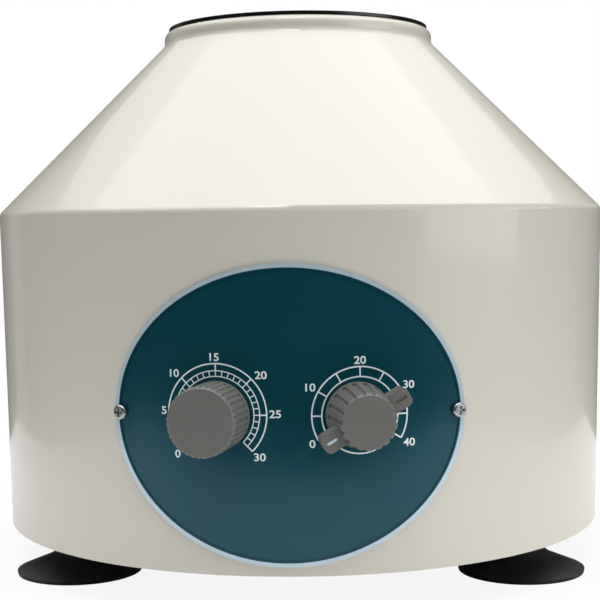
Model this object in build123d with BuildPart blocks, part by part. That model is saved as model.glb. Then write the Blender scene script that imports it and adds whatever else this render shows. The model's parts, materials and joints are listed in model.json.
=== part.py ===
from build123d import *

import os
from math import cos, degrees, radians, sin, sqrt, tan

# Bench centrifuge for eight tubes: a round sheet housing on three suction feet,
# a hinged lid over a fixed-angle rotor, and two knobs on a curved oval plate.
# Z is the rotor's axis, Z = 0 is the bench, and the knobs face -Y.

os.makedirs("parts", exist_ok=True)

# Housing, from its lower edge up
foot_clearance = 17.0
drum_foot_radius = 132.4
shoulder_radius = 135.0
drum_height = 135.8
cone_angle = 45.0
collar_radius = 60.5
collar_height = 6.5
collar_rim = 6.5
lip_depth = 5.8
sheet = 1.2
shoulder_round = 3.0
collar_foot_round = 3.0
collar_round = 3.4
lip_round = 2.2

mouth_radius = collar_radius - collar_rim
shoulder_z = foot_clearance + drum_height
cone_top_z = shoulder_z + (shoulder_radius - collar_radius) * tan(radians(cone_angle))
collar_top_z = cone_top_z + collar_height
lip_bottom_z = collar_top_z - lip_depth

# Clearances
seat_gap = 0.3
running_gap = 0.05
screw_gap = 0.2
slip_gap = 0.15

# Control plate and knobs
plate_half_arc = 69.0
plate_half_height = 56.0
plate_centre_height = 59.8
plate_sheet = 0.8
plate_rim_width = 2.2
plate_rim_rise = 0.35
plate_screw_arc = 65.4
panel_screw_length = 6.0
plate_screw_radius = 1.5
knob_arc = 26.0
knob_height = 60.0
knob_back_gap = 0.5
knob_bore_depth = 15.0
nut_across = 14.0
nut_height = 2.2
bushing_reach = 4.2
knob_hollow_radius = 9.0
knob_hollow_depth = 5.5
knob_edge = 0.8
spindle_radius = 3.0
bushing_radius = 4.75
timer_knob_radius = 12.9
timer_knob_length = 19.0
timer_flutes = 36
timer_flute_radius = 0.55
flute_stand_off = 0.15
timer_band = 2.6
speed_knob_foot_radius = 12.2
speed_knob_face_radius = 10.3
speed_knob_length = 20.5
speed_flutes = 18
speed_flute_radius = 0.9
speed_band = 2.4
lug_reach = 18.0
lug_width = 7.0
lug_corner = 2.0
lug_start = 9.0
lug_height = 7.0
lug_groove_width = 1.2
lug_groove_depth = 0.5
lug_groove_end = 1.4
pointer_angle = 210.0
timer_case_radius = 21.0
timer_case_depth = 27.0
speed_case_radius = 12.0
speed_case_depth = 11.0
spindle_depth = 8.0
tag_width = 6.3
tag_sheet = 0.8
tag_length = 8.0
timer_tag_spacing = 16.0
solder_tag_width = 2.4
solder_tag_length = 9.0
solder_tag_spacing = 5.0
solder_tag_sheet = 0.6

# Base plate and feet
base_recess = 5.0
base_sheet = 1.5
base_rim_height = 14.0
base_corner = 3.0
foot_inset = 24.0
foot_half_angle = 60.0
cup_radius = 26.5
cup_lip = 1.4
cup_edge = 0.3
cup_hollow_radius = 22.5
cup_hollow_depth = 3.0
foot_shoulder_radius = 12.5
foot_shoulder_z = 7.2
foot_stub_radius = 9.75
foot_stub_z = 9.4
foot_screw_radius = 2.5
foot_bore_depth = 10.0
vent_count = 24
vent_width = 4.0
vent_length = 18.0
vent_circle_radius = 73.0
case_screw_radius = 2.0
case_screw_length = 8.0
screw_head_share = 1.9
screw_head_rise = 1.15

# Chamber bowl
bowl_sheet = 1.0
bowl_side_gap = 12.1
bowl_depth = 30.0
bowl_flange_drop = 4.8
bowl_flange_gap = 1.2
bowl_corner = 8.0
bowl_flange_round = 3.0
bowl_neck_radius = 13.0
bowl_neck_rise = 8.0
bowl_neck_foot_radius = 30.0
bowl_neck_lip = 3.0
bowl_neck_round = 1.2
bowl_neck_foot_round = 4.0
trim_height = 5.0
trim_width = 4.0
post_radius = 6.0
post_inset = 20.4
post_screw_radius = 2.0
post_screw_reach = 10.0
boot_gap = 1.2
boot_wall = 1.5
boot_cap = 1.2

# Rotor and tubes
tube_count = 8
tube_angle = 45.0
mouth_circle_radius = 37.0
tube_mouth_drop = 21.8
sleeve_bore_radius = 8.8
sleeve_wall = 0.9
sleeve_length = 96.0
sleeve_floor = 1.2
sleeve_flange_radius = 12.0
sleeve_flange = 1.5
sleeve_round = 2.5
cushion_radius = 7.8
cushion_height = 4.0
funnel_sheet = 3.0
funnel_inner = 17.0
funnel_outer = 14.0
rim_sheet = 2.5
rim_half_width = 12.0
web_sheet = 2.5
hub_radius = 16.0
hub_gap = 5.0
shaft_radius = 4.0
stud_radius = 3.0
stud_length = 10.5
nut_radius = 8.0
nut_washer = 2.0
nut_washer_height = 1.5
nut_flat_height = 7.0
nut_dome_share = 0.8
nut_dome_height = 4.0
nut_dome_taper = 25.0
nut_bore_depth = 11.0

# Motor
motor_radius = 40.0
can_wall = 2.8
can_height = 54.0
leg_height = 9.0
shield_sheet = 4.0
shield_lip = 3.0
shield_vents = 6
shield_vent_circle = 25.0
shield_vent_length = 10.0
shield_vent_width = 5.0
boss_radius = 14.0
lower_boss_height = 6.0
bearing_sunk = 2.0
bearing_radius = 11.0
bearing_width = 7.0
bearing_ring = 2.0
bearing_groove = 0.6
core_height = 20.0
core_drop = 8.0
air_gap = 0.8
armature_radius = 22.7
armature_slots = 12
commutator_radius = 12.0
commutator_rise = 8.0
commutator_height = 10.0
brush_width = 6.0
brush_height = 8.0
brush_length = 16.0
brush_wall = 1.5
brush_holder_length = 31.0
fan_radius = 28.0
fan_blades = 8
fan_height = 5.5
fan_gap = 2.0
fan_hub = 9.0
fan_disc = 1.0
fan_blade = 1.2
fan_blade_turn = 12.0
fan_blade_inset = 0.5
bracket_radius = 60.0
bracket_sheet = 3.0
bracket_window_lap = 6.0
bracket_scallop = 22.0
mount_circle_radius = 52.0
mount_radius = 9.0
mount_height = 12.5
mount_waist = 2.0
mount_screw_reach = 1.5
mount_screw_radius = 2.5
leg_circle_radius = 33.5
leg_radius = 4.0
leg_screw_reach = 9.0
leg_bore_depth = 10.0
bolt_radius = 1.9
bolt_circle_radius = 31.5
bolt_angle = 45.0
bolt_end_gap = 1.0

# Lid and hinge
lid_inset = 2.0
lid_gap = 0.1
lid_ceiling = 0.8
lid_edge = 1.3
lid_rise = 4.0
spigot_gap = 2.0
spigot_wall = 2.5
spigot_depth = 6.3
seal_lip = 1.5
seal_height = 3.5
seal_rise = 1.0
seal_flank = 0.6
grip_length = 52.0
grip_width = 9.0
grip_rise = 3.8
grip_corner = 3.0
grip_round = 1.5
scoop_room = 10.0
scoop_width = 15.0
scoop_depth = 2.4
hinge_setback = 6.5
hinge_rise = 4.5
arm_root_gap = 8.5
arm_low = 1.2
arm_high = 1.0
pin_radius = 2.5
pin_head_radius = 3.7
pin_head = 1.2
knuckle_radius = 4.5
knuckle_width = 22.6
ear_sheet = 2.5
ear_radius = 5.2
saddle_sheet = 2.0
saddle_half_angle = 13.0
saddle_start_gap = 2.2
saddle_length = 26.0
ear_toe = 2.6
ear_heel = 15.0
ear_lift = 0.3
stop_gap = 5.9
stop_lift = 0.4
hinge_screw_angle = 6.5
hinge_screw_setback = 19.0
hinge_nut_across = 7.0
hinge_nut_height = 3.0

# Back: mains inlet with fuse drawer, and power switch
inlet_z = 75.0
inlet_width = 33.0
inlet_height = 50.0
inlet_flange = 3.0
inlet_corner = 4.0
inlet_land_margin = 2.0
inlet_body_width = 27.6
inlet_body_height = 31.0
inlet_depth = 20.0
well_width = 16.4
well_height = 24.4
well_depth = 15.5
well_offset = -4.6
inlet_pin_length = 10.0
inlet_pin_width = 4.0
inlet_pin_height = 2.0
inlet_tail = 8.0
well_key = 4.0
pin_row_offset = 2.0
pin_spacing = 7.0
drawer_width = 7.0
drawer_height = 22.0
drawer_offset = 9.0
drawer_depth = 18.0
drawer_lip = 1.5
drawer_lap = 0.6
drawer_corner = 1.0
drawer_ledge = 1.6
drawer_ledge_rise = 1.0
drawer_ledge_inset = 0.75
fuse_radius = 2.7
fuse_wall = 4.0
fuse_offset = 2.0
inlet_screw_spacing = 40.0
switch_azimuth = 155.0
switch_z = 75.0
switch_width = 15.0
switch_height = 21.0
switch_bezel = 2.0
switch_depth = 18.0
switch_corner = 1.2
switch_land_margin = 3.0
switch_body_inset = 2.0
switch_tag_spacing = 8.0
switch_tag_sunk = 1.0
rocker_width = 11.0
rocker_radius = 8.4
rocker_tilt = 10.0
rocker_axis_depth = 1.0
rocker_under = 3.0
rocker_valley = 3.2
trunnion_radius = 1.2

# Speed board
board_azimuth = -120.0
board_inset = 37.4
board_width = 56.0
board_length = 42.0
board_sheet = 1.6
board_lift = 6.0
sink_height = 26.0
sink_length = 28.0
sink_sheet = 2.0
sink_fins = 5
sink_fin = 1.2
sink_fin_depth = 7.0
sink_fin_spacing = 6.0
sink_place = (10.0, 12.0)
board_corner = 2.0
board_hole_inset = 4.0
board_hole_radius = 1.6
board_foot_radius = 3.5
board_pin_radius = 1.4
board_pin_reach = 2.0
terminal_size = (18.0, 8.0, 10.0)
terminal_place = (-14.0, -14.0)
capacitor_size = (16.0, 7.0, 13.0)
capacitor_place = (12.0, -12.0)
choke_radius = 8.0
choke_bore = 3.0
choke_height = 9.0
choke_place = (-12.0, 4.0)


def drum_radius(z):
    """Outer radius of the slightly tapered drum at height z."""
    taper = (shoulder_radius - drum_foot_radius) / drum_height
    return drum_foot_radius + taper * (z - foot_clearance)


def cone_point(radius, lift):
    """Radius and height of a point over the cone, lift away from its outer surface."""
    slope = radians(cone_angle)
    surface_z = shoulder_z + (shoulder_radius - radius) * tan(slope)
    return (radius + lift * sin(slope), surface_z + lift * cos(slope))


def facing(azimuth, radius, z):
    """Plane that faces out of the drum: x to the viewer's right, y up. Azimuth 0 is the front."""
    turn = radians(azimuth)
    origin = (radius * sin(turn), -radius * cos(turn), z)
    return Plane(origin=origin, x_dir=(cos(turn), sin(turn), 0), z_dir=(sin(turn), -cos(turn), 0))


def level(azimuth, radius, z):
    """Level plane at a point round the axis, with its y pointing at the axis."""
    turn = radians(azimuth)
    origin = (radius * sin(turn), -radius * cos(turn), z)
    return Plane(origin=origin, x_dir=(cos(turn), sin(turn), 0), z_dir=(0, 0, 1))


def tube_plane(azimuth, along):
    """Plane square to a tube's axis, its z pointing out of the mouth, at a depth along below the mouth."""
    turn = radians(azimuth)
    lean = radians(tube_angle)
    out = Vector(sin(turn), -cos(turn), 0)
    axis = out * -sin(lean) + Vector(0, 0, cos(lean))
    mouth = out * mouth_circle_radius + Vector(0, 0, tube_mouth_z)
    return Plane(origin=mouth - axis * along, x_dir=(cos(turn), sin(turn), 0), z_dir=axis)


def rotor_point(along, across):
    """Radius and height of a point beside a tube's axis: along goes down it, across goes up and outwards."""
    lean = radians(tube_angle)
    radius = mouth_circle_radius + along * sin(lean) + across * cos(lean)
    return (radius, tube_mouth_z - along * cos(lean) + across * sin(lean))


lid_radius = collar_radius - lid_inset
spigot_radius = mouth_radius - spigot_gap
hinge_y = collar_radius + hinge_setback
hinge_z = collar_top_z + hinge_rise
hinge_screw_y = hinge_y + hinge_screw_setback
bowl_flange_z = shoulder_z - bowl_flange_drop
bowl_floor_z = bowl_flange_z - bowl_depth
bowl_radius = drum_radius(bowl_floor_z) - sheet - bowl_side_gap
neck_top_z = bowl_floor_z + bowl_neck_rise
hub_bottom_z = neck_top_z + hub_gap
tube_mouth_z = collar_top_z - tube_mouth_drop
foot_circle_radius = drum_foot_radius - foot_inset
post_circle_radius = foot_circle_radius - post_inset
board_circle_radius = drum_foot_radius - board_inset

plate_z = foot_clearance + plate_centre_height
control_z = foot_clearance + knob_height
knob_azimuth = degrees(knob_arc / drum_radius(control_z))
field_radius = drum_radius(control_z) + seat_gap + plate_sheet
base_bottom_z = foot_clearance + base_recess
base_top_z = base_bottom_z + base_sheet
foot_azimuths = (-foot_half_angle, foot_half_angle, 180.0)
case_screw_azimuths = (-100.0, 100.0, 180.0)
case_screw_z = base_top_z + base_rim_height / 2
case_screw_hole = case_screw_radius + screw_gap
bushing_hole = bushing_radius + screw_gap
timer_plane = facing(-knob_azimuth, field_radius, control_z)
speed_plane = facing(knob_azimuth, field_radius, control_z)
plate_screw_azimuth = degrees(plate_screw_arc / drum_radius(plate_z))

inlet_land_width = inlet_width + inlet_land_margin
inlet_land_height = inlet_height + 2 * inlet_land_margin
inlet_face = sqrt(drum_radius(inlet_z - inlet_land_height / 2) ** 2 - (inlet_land_width / 2) ** 2)
inlet_plane = facing(180.0, inlet_face, inlet_z)
switch_land_width = switch_width + switch_land_margin
switch_land_height = switch_height + switch_land_margin
switch_body_width = switch_width - switch_body_inset
switch_body_height = switch_height - switch_body_inset
switch_face = sqrt(drum_radius(switch_z - switch_land_height / 2) ** 2 - (switch_land_width / 2) ** 2)
switch_plane = facing(switch_azimuth, switch_face, switch_z)

hinge_screw_planes = []
for side in (-1, 1):
    turn = radians(180.0 + side * hinge_screw_angle)
    surface_z = cone_point(hinge_screw_y, 0.0)[1]
    out = Vector(sin(turn), -cos(turn), 0)
    normal = out * sin(radians(cone_angle)) + Vector(0, 0, cos(radians(cone_angle)))
    spot = out * hinge_screw_y + Vector(0, 0, surface_z)
    hinge_screw_planes.append(Plane(origin=spot, x_dir=(cos(turn), sin(turn), 0), z_dir=normal))

# Housing: one drawn shell, thickness to the inside, open below and at the mouth
with BuildPart() as housing:
    with BuildSketch(Plane.XZ):
        with BuildLine():
            FilletPolyline(
                (drum_foot_radius, foot_clearance),
                (shoulder_radius, shoulder_z),
                (collar_radius, cone_top_z),
                (collar_radius, collar_top_z),
                (mouth_radius, collar_top_z),
                (mouth_radius, lip_bottom_z),
                radius=[shoulder_round, collar_foot_round, collar_round, lip_round],
            )
            offset(amount=sheet, side=Side.LEFT)
        make_face()
    revolve(axis=Axis.Z)
    # Pressed flats for the inlet and the switch
    with BuildSketch(inlet_plane):
        Rectangle(inlet_land_width, inlet_land_height)
    extrude(amount=sheet * 4, mode=Mode.SUBTRACT)
    with BuildSketch(inlet_plane):
        Rectangle(inlet_land_width, inlet_land_height)
    extrude(amount=-sheet)
    with BuildSketch(inlet_plane):
        Rectangle(inlet_body_width + 2 * seat_gap, inlet_body_height + 2 * seat_gap)
        with GridLocations(0, inlet_screw_spacing, 1, 2):
            Circle(plate_screw_radius + screw_gap)
    extrude(amount=-sheet * 2, mode=Mode.SUBTRACT)
    with BuildSketch(switch_plane):
        Rectangle(switch_land_width, switch_land_height)
    extrude(amount=sheet * 4, mode=Mode.SUBTRACT)
    with BuildSketch(switch_plane):
        Rectangle(switch_land_width, switch_land_height)
    extrude(amount=-sheet)
    with BuildSketch(switch_plane):
        Rectangle(switch_body_width + 2 * seat_gap, switch_body_height + 2 * seat_gap)
    extrude(amount=-sheet * 2, mode=Mode.SUBTRACT)
    # Holes for the bushings, the plate screws, the case screws and the hinge screws
    for plane in (timer_plane, speed_plane):
        with BuildSketch(plane):
            Circle(bushing_hole)
        extrude(amount=-sheet * 4, mode=Mode.SUBTRACT)
    for side in (-1, 1):
        with BuildSketch(facing(side * plate_screw_azimuth, shoulder_radius, plate_z)):
            Circle(plate_screw_radius + screw_gap)
        extrude(amount=-sheet * 5, mode=Mode.SUBTRACT)
    for azimuth in case_screw_azimuths:
        with BuildSketch(facing(azimuth, shoulder_radius, case_screw_z)):
            Circle(case_screw_hole)
        extrude(amount=-sheet * 5, mode=Mode.SUBTRACT)
    for plane in hinge_screw_planes:
        with BuildSketch(plane):
            Circle(case_screw_hole)
        extrude(amount=-sheet * 2, mode=Mode.SUBTRACT)
housing.part.label = "housing"
export_step(housing.part, "parts/housing.step")


def drum_sheet(low, high, start, thickness):
    """Section of a sheet that lies round the drum, start away from its outer surface."""
    return [
        (drum_radius(low) + start, low),
        (drum_radius(high) + start, high),
        (drum_radius(high) + start + thickness, high),
        (drum_radius(low) + start + thickness, low),
    ]


plate_half_width = drum_radius(plate_z) * sin(plate_half_arc / drum_radius(plate_z))
plate_low = plate_z - 1.02 * plate_half_height
plate_high = plate_z + 1.02 * plate_half_height

# The layer above the plate's field, which is cut away to leave its raised rim
field_start = seat_gap + plate_sheet
with BuildPart() as field_layer:
    with BuildSketch(Plane.XZ):
        with BuildLine():
            Polyline(*drum_sheet(plate_low, plate_high, field_start, 2 * plate_rim_rise), close=True)
        make_face()
    revolve(axis=Axis.Z)
    with BuildSketch(Plane.XZ):
        with Locations((0, plate_z)):
            Ellipse(plate_half_width - plate_rim_width, plate_half_height - plate_rim_width)
    extrude(amount=2 * shoulder_radius, mode=Mode.INTERSECT)

# Control plate: an oval of thin sheet bent round the drum
with BuildPart() as control_plate:
    with BuildSketch(Plane.XZ):
        with BuildLine():
            Polyline(*drum_sheet(plate_low, plate_high, seat_gap, plate_sheet + plate_rim_rise), close=True)
        make_face()
    revolve(axis=Axis.Z)
    with BuildSketch(Plane.XZ):
        with Locations((0, plate_z)):
            Ellipse(plate_half_width, plate_half_height)
    extrude(amount=2 * shoulder_radius, mode=Mode.INTERSECT)
    add(field_layer.part, mode=Mode.SUBTRACT)
    for plane in (timer_plane, speed_plane):
        with BuildSketch(plane.offset(plate_rim_rise)):
            Circle(bushing_hole)
        extrude(amount=-sheet * 4, mode=Mode.SUBTRACT)
    for side in (-1, 1):
        with BuildSketch(facing(side * plate_screw_azimuth, shoulder_radius + sheet, plate_z)):
            Circle(plate_screw_radius + screw_gap)
        extrude(amount=-sheet * 5, mode=Mode.SUBTRACT)
control_plate.part.label = "control_plate"
export_step(control_plate.part, "parts/control_plate.step")


def pan_screw(plane, radius, length):
    """Screw that stands on a plane: rounded head with a cross recess above it, shank below."""
    head_radius = screw_head_share * radius
    head_height = screw_head_rise * radius
    slot = 0.25 * head_radius
    with BuildPart() as screw:
        with BuildSketch(plane):
            Circle(head_radius)
        extrude(amount=head_height)
        fillet(screw.edges().sort_by(Axis(plane.origin, plane.z_dir))[-1], radius=0.6 * head_height)
        with BuildSketch(plane):
            Circle(radius)
        extrude(amount=-length)
        with BuildSketch(plane.offset(head_height)):
            Rectangle(1.2 * head_radius, slot)
            Rectangle(slot, 1.2 * head_radius)
        extrude(amount=-0.6 * head_height, mode=Mode.SUBTRACT)
    return screw.part


def hex_nut(plane, across, height, hole):
    """Hexagonal nut or collar that stands on a plane."""
    with BuildPart() as nut:
        with BuildSketch(plane):
            RegularPolygon(across / 2, 6, major_radius=False)
            Circle(hole, mode=Mode.SUBTRACT)
        extrude(amount=height)
    return nut.part


def pillars(planes, radius, length, bore):
    """Round pillars that stand on planes, with a hole through each."""
    with BuildPart() as group:
        with BuildSketch(*planes):
            Circle(radius)
            Circle(bore, mode=Mode.SUBTRACT)
        extrude(amount=length)
    return group.part


# Four small screws: two hold the control plate by its rim, two hold the mains inlet
plate_screw_seat = drum_radius(plate_z) + seat_gap + plate_sheet + plate_rim_rise + running_gap
panel_screw_planes = [facing(side * plate_screw_azimuth, plate_screw_seat, plate_z) for side in (-1, 1)]
for side in (-1, 1):
    inlet_screw_z = inlet_z + side * inlet_screw_spacing / 2
    panel_screw_planes.append(facing(180.0, inlet_face + inlet_flange + 2 * running_gap, inlet_screw_z))
panel_screw_parts = [
    pan_screw(plane, plate_screw_radius, panel_screw_length) for plane in panel_screw_planes
]
with BuildPart() as panel_screws:
    add(panel_screw_parts)
panel_screws.part.label = "panel_screws"
export_step(panel_screws.part, "parts/panel_screws.step")

# Base plate: a shallow pressed tray inside the drum's lower edge
base_rim_z = base_bottom_z + base_rim_height
base_radius = min(drum_radius(base_bottom_z), drum_radius(base_rim_z)) - sheet - seat_gap
vent_angle = 360.0 / vent_count
with BuildPart() as base_plate:
    with BuildSketch(Plane.XZ):
        with BuildLine():
            FilletPolyline(
                (0, base_bottom_z),
                (base_radius, base_bottom_z),
                (base_radius, base_rim_z),
                radius=[base_corner],
            )
            offset(amount=base_sheet, side=Side.LEFT)
        make_face()
    revolve(axis=Axis.Z)
    for azimuth in foot_azimuths:
        with BuildSketch(level(azimuth, foot_circle_radius, base_bottom_z)):
            Circle(foot_screw_radius + screw_gap)
        extrude(amount=base_sheet, mode=Mode.SUBTRACT)
        with BuildSketch(level(azimuth, post_circle_radius, base_bottom_z)):
            Circle(post_screw_radius + screw_gap)
        extrude(amount=base_sheet, mode=Mode.SUBTRACT)
        with BuildSketch(level(azimuth + 180.0, mount_circle_radius, base_bottom_z)):
            Circle(mount_screw_radius + screw_gap)
        extrude(amount=base_sheet, mode=Mode.SUBTRACT)
    for azimuth in case_screw_azimuths:
        with BuildSketch(facing(azimuth, base_radius + base_sheet, case_screw_z)):
            Circle(case_screw_radius + running_gap)
        extrude(amount=-3 * base_sheet, mode=Mode.SUBTRACT)
    for step in range(vent_count):
        with BuildSketch(level((step + 0.5) * vent_angle, vent_circle_radius, base_bottom_z)):
            SlotOverall(vent_length, vent_width, rotation=90)
        extrude(amount=base_sheet, mode=Mode.SUBTRACT)
base_plate.part.label = "base_plate"
export_step(base_plate.part, "parts/base_plate.step")

# Five screws: three through the drum into the base plate's rim, two through the hinge bracket
case_screw_planes = [
    facing(azimuth, drum_radius(case_screw_z) + slip_gap, case_screw_z) for azimuth in case_screw_azimuths
]
for plane in hinge_screw_planes:
    case_screw_planes.append(plane.offset(saddle_sheet + slip_gap))
case_screw_parts = [
    pan_screw(plane, case_screw_radius, case_screw_length) for plane in case_screw_planes
]
with BuildPart() as case_screws:
    add(case_screw_parts)
case_screws.part.label = "case_screws"
export_step(case_screws.part, "parts/case_screws.step")

# Suction feet: rubber cups, hollow below, each with a stub up to the base plate
with BuildPart() as suction_feet:
    for azimuth in foot_azimuths:
        foot_axis = level(azimuth, foot_circle_radius, 0.0)
        turn_plane = Plane(origin=foot_axis.origin, x_dir=foot_axis.x_dir, z_dir=-foot_axis.y_dir)
        with BuildSketch(turn_plane):
            with BuildLine():
                Polyline(
                    (0, cup_hollow_depth),
                    (cup_hollow_radius * 0.55, cup_hollow_depth * 0.8),
                    (cup_hollow_radius, 0),
                    (cup_radius - cup_edge, 0),
                    (cup_radius, cup_lip),
                    (foot_shoulder_radius, foot_shoulder_z),
                    (foot_stub_radius, foot_stub_z),
                    (foot_stub_radius, base_bottom_z),
                    (0, base_bottom_z),
                    close=True,
                )
            make_face()
        revolve(axis=Axis(foot_axis.origin, (0, 0, 1)))
        with BuildSketch(foot_axis.offset(base_bottom_z)):
            Circle(foot_screw_radius)
        extrude(amount=-foot_bore_depth, mode=Mode.SUBTRACT)
suction_feet.part.label = "suction_feet"
export_step(suction_feet.part, "parts/suction_feet.step")

# Screws that hold the feet, from inside
foot_screw_parts = [
    pan_screw(level(azimuth, foot_circle_radius, base_top_z), foot_screw_radius, base_sheet + foot_bore_depth)
    for azimuth in foot_azimuths
]
with BuildPart() as foot_screws:
    add(foot_screw_parts)
foot_screws.part.label = "foot_screws"
export_step(foot_screws.part, "parts/foot_screws.step")

# Chamber bowl: catches spills under the rotor, with a raised neck for the shaft and a flange to the drum
flange_radius = drum_radius(bowl_flange_z) - sheet - bowl_flange_gap
with BuildPart() as chamber_bowl:
    with BuildSketch(Plane.XZ):
        with BuildLine():
            FilletPolyline(
                (bowl_neck_radius, neck_top_z),
                (bowl_neck_radius, neck_top_z - bowl_neck_lip),
                (bowl_neck_foot_radius, bowl_floor_z),
                (bowl_radius, bowl_floor_z),
                (bowl_radius, bowl_flange_z),
                (flange_radius, bowl_flange_z),
                radius=[bowl_neck_round, bowl_neck_foot_round, bowl_corner, bowl_flange_round],
            )
            offset(amount=bowl_sheet, side=Side.RIGHT)
        make_face()
    revolve(axis=Axis.Z)
    for azimuth in foot_azimuths:
        with BuildSketch(level(azimuth, post_circle_radius, bowl_floor_z)):
            Circle(post_screw_radius + screw_gap)
        extrude(amount=-2 * bowl_sheet, mode=Mode.SUBTRACT)
chamber_bowl.part.label = "chamber_bowl"
export_step(chamber_bowl.part, "parts/chamber_bowl.step")

# Rubber trim round the bowl's flange, against the drum
trim_radius = drum_radius(bowl_flange_z) - sheet - seat_gap
with BuildPart() as bowl_trim:
    with BuildSketch(Plane.XZ):
        with Locations((trim_radius - trim_width / 2, bowl_flange_z - bowl_sheet / 2)):
            Rectangle(trim_width, trim_height)
        with Locations((flange_radius - trim_width, bowl_flange_z - bowl_sheet / 2)):
            Rectangle(2 * trim_width, bowl_sheet, mode=Mode.SUBTRACT)
    revolve(axis=Axis.Z)
bowl_trim.part.label = "bowl_trim"
export_step(bowl_trim.part, "parts/bowl_trim.step")

# Posts from the base plate to the bowl, each with a screw at both ends
post_height = bowl_floor_z - bowl_sheet - base_top_z
post_part = pillars(
    [level(azimuth, post_circle_radius, base_top_z) for azimuth in foot_azimuths],
    post_radius, post_height, post_screw_radius,
)
with BuildPart() as bowl_posts:
    add(post_part)
bowl_posts.part.label = "bowl_posts"
export_step(bowl_posts.part, "parts/bowl_posts.step")

post_screw_parts = []
for azimuth in foot_azimuths:
    upper = level(azimuth, post_circle_radius, bowl_floor_z)
    lower = Plane(origin=level(azimuth, post_circle_radius, base_bottom_z).origin, z_dir=(0, 0, -1))
    post_screw_parts.append(pan_screw(upper, post_screw_radius, bowl_sheet + post_screw_reach))
    post_screw_parts.append(pan_screw(lower, post_screw_radius, base_sheet + post_screw_reach))
with BuildPart() as post_screws:
    add(post_screw_parts)
post_screws.part.label = "post_screws"
export_step(post_screws.part, "parts/post_screws.step")

# Rubber boot that closes the neck round the shaft
boot_bore = shaft_radius + boot_gap
boot_radius = bowl_neck_radius - bowl_sheet - running_gap
with BuildPart() as shaft_boot:
    with BuildSketch(Plane.XZ):
        with BuildLine():
            Polyline(
                (boot_bore, neck_top_z),
                (boot_bore + boot_wall, neck_top_z - bowl_neck_lip),
                (boot_radius, neck_top_z - bowl_neck_lip),
                (boot_radius, neck_top_z + running_gap),
                (bowl_neck_radius + boot_cap, neck_top_z + running_gap),
                (bowl_neck_radius, neck_top_z + boot_cap),
                (boot_bore + boot_wall, neck_top_z + boot_cap),
                close=True,
            )
        make_face()
    revolve(axis=Axis.Z)
shaft_boot.part.label = "shaft_boot"
export_step(shaft_boot.part, "parts/shaft_boot.step")

# Motor bracket on three rubber mounts
mount_azimuths = (0.0, 120.0, -120.0)
bracket_bottom_z = base_top_z + mount_height
bracket_top_z = bracket_bottom_z + bracket_sheet
with BuildPart() as motor_bracket:
    with BuildSketch(Plane.XY.offset(bracket_bottom_z)):
        Circle(bracket_radius)
        Circle(fan_radius - bracket_window_lap, mode=Mode.SUBTRACT)
        with PolarLocations(mount_circle_radius, 3, start_angle=-90):
            Circle(mount_screw_radius + screw_gap, mode=Mode.SUBTRACT)
        with PolarLocations(leg_circle_radius, 3, start_angle=90):
            Circle(bolt_radius + screw_gap, mode=Mode.SUBTRACT)
        with PolarLocations(bracket_radius, 3, start_angle=90):
            Circle(bracket_scallop, mode=Mode.SUBTRACT)
    extrude(amount=bracket_sheet)
motor_bracket.part.label = "motor_bracket"
export_step(motor_bracket.part, "parts/motor_bracket.step")

mount_planes = [level(azimuth, mount_circle_radius, base_top_z) for azimuth in mount_azimuths]
with BuildPart() as motor_mounts:
    for plane in mount_planes:
        with BuildSketch(plane):
            Circle(mount_radius)
        extrude(amount=mount_height)
        with BuildSketch(plane.offset(mount_height / 2)):
            Circle(mount_radius + mount_waist)
            Circle(mount_radius - mount_waist, mode=Mode.SUBTRACT)
        extrude(amount=mount_height / 6, both=True, mode=Mode.SUBTRACT)
        with BuildSketch(plane):
            Circle(mount_screw_radius)
        extrude(amount=mount_height, mode=Mode.SUBTRACT)
motor_mounts.part.label = "motor_mounts"
export_step(motor_mounts.part, "parts/motor_mounts.step")

mount_screw_length = bracket_sheet + mount_height + base_sheet + mount_screw_reach
mount_screw_parts = [
    pan_screw(plane.offset(mount_height + bracket_sheet), mount_screw_radius, mount_screw_length)
    for plane in mount_planes
]
with BuildPart() as mount_screws:
    add(mount_screw_parts)
mount_screws.part.label = "mount_screws"
export_step(mount_screws.part, "parts/mount_screws.step")

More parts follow.
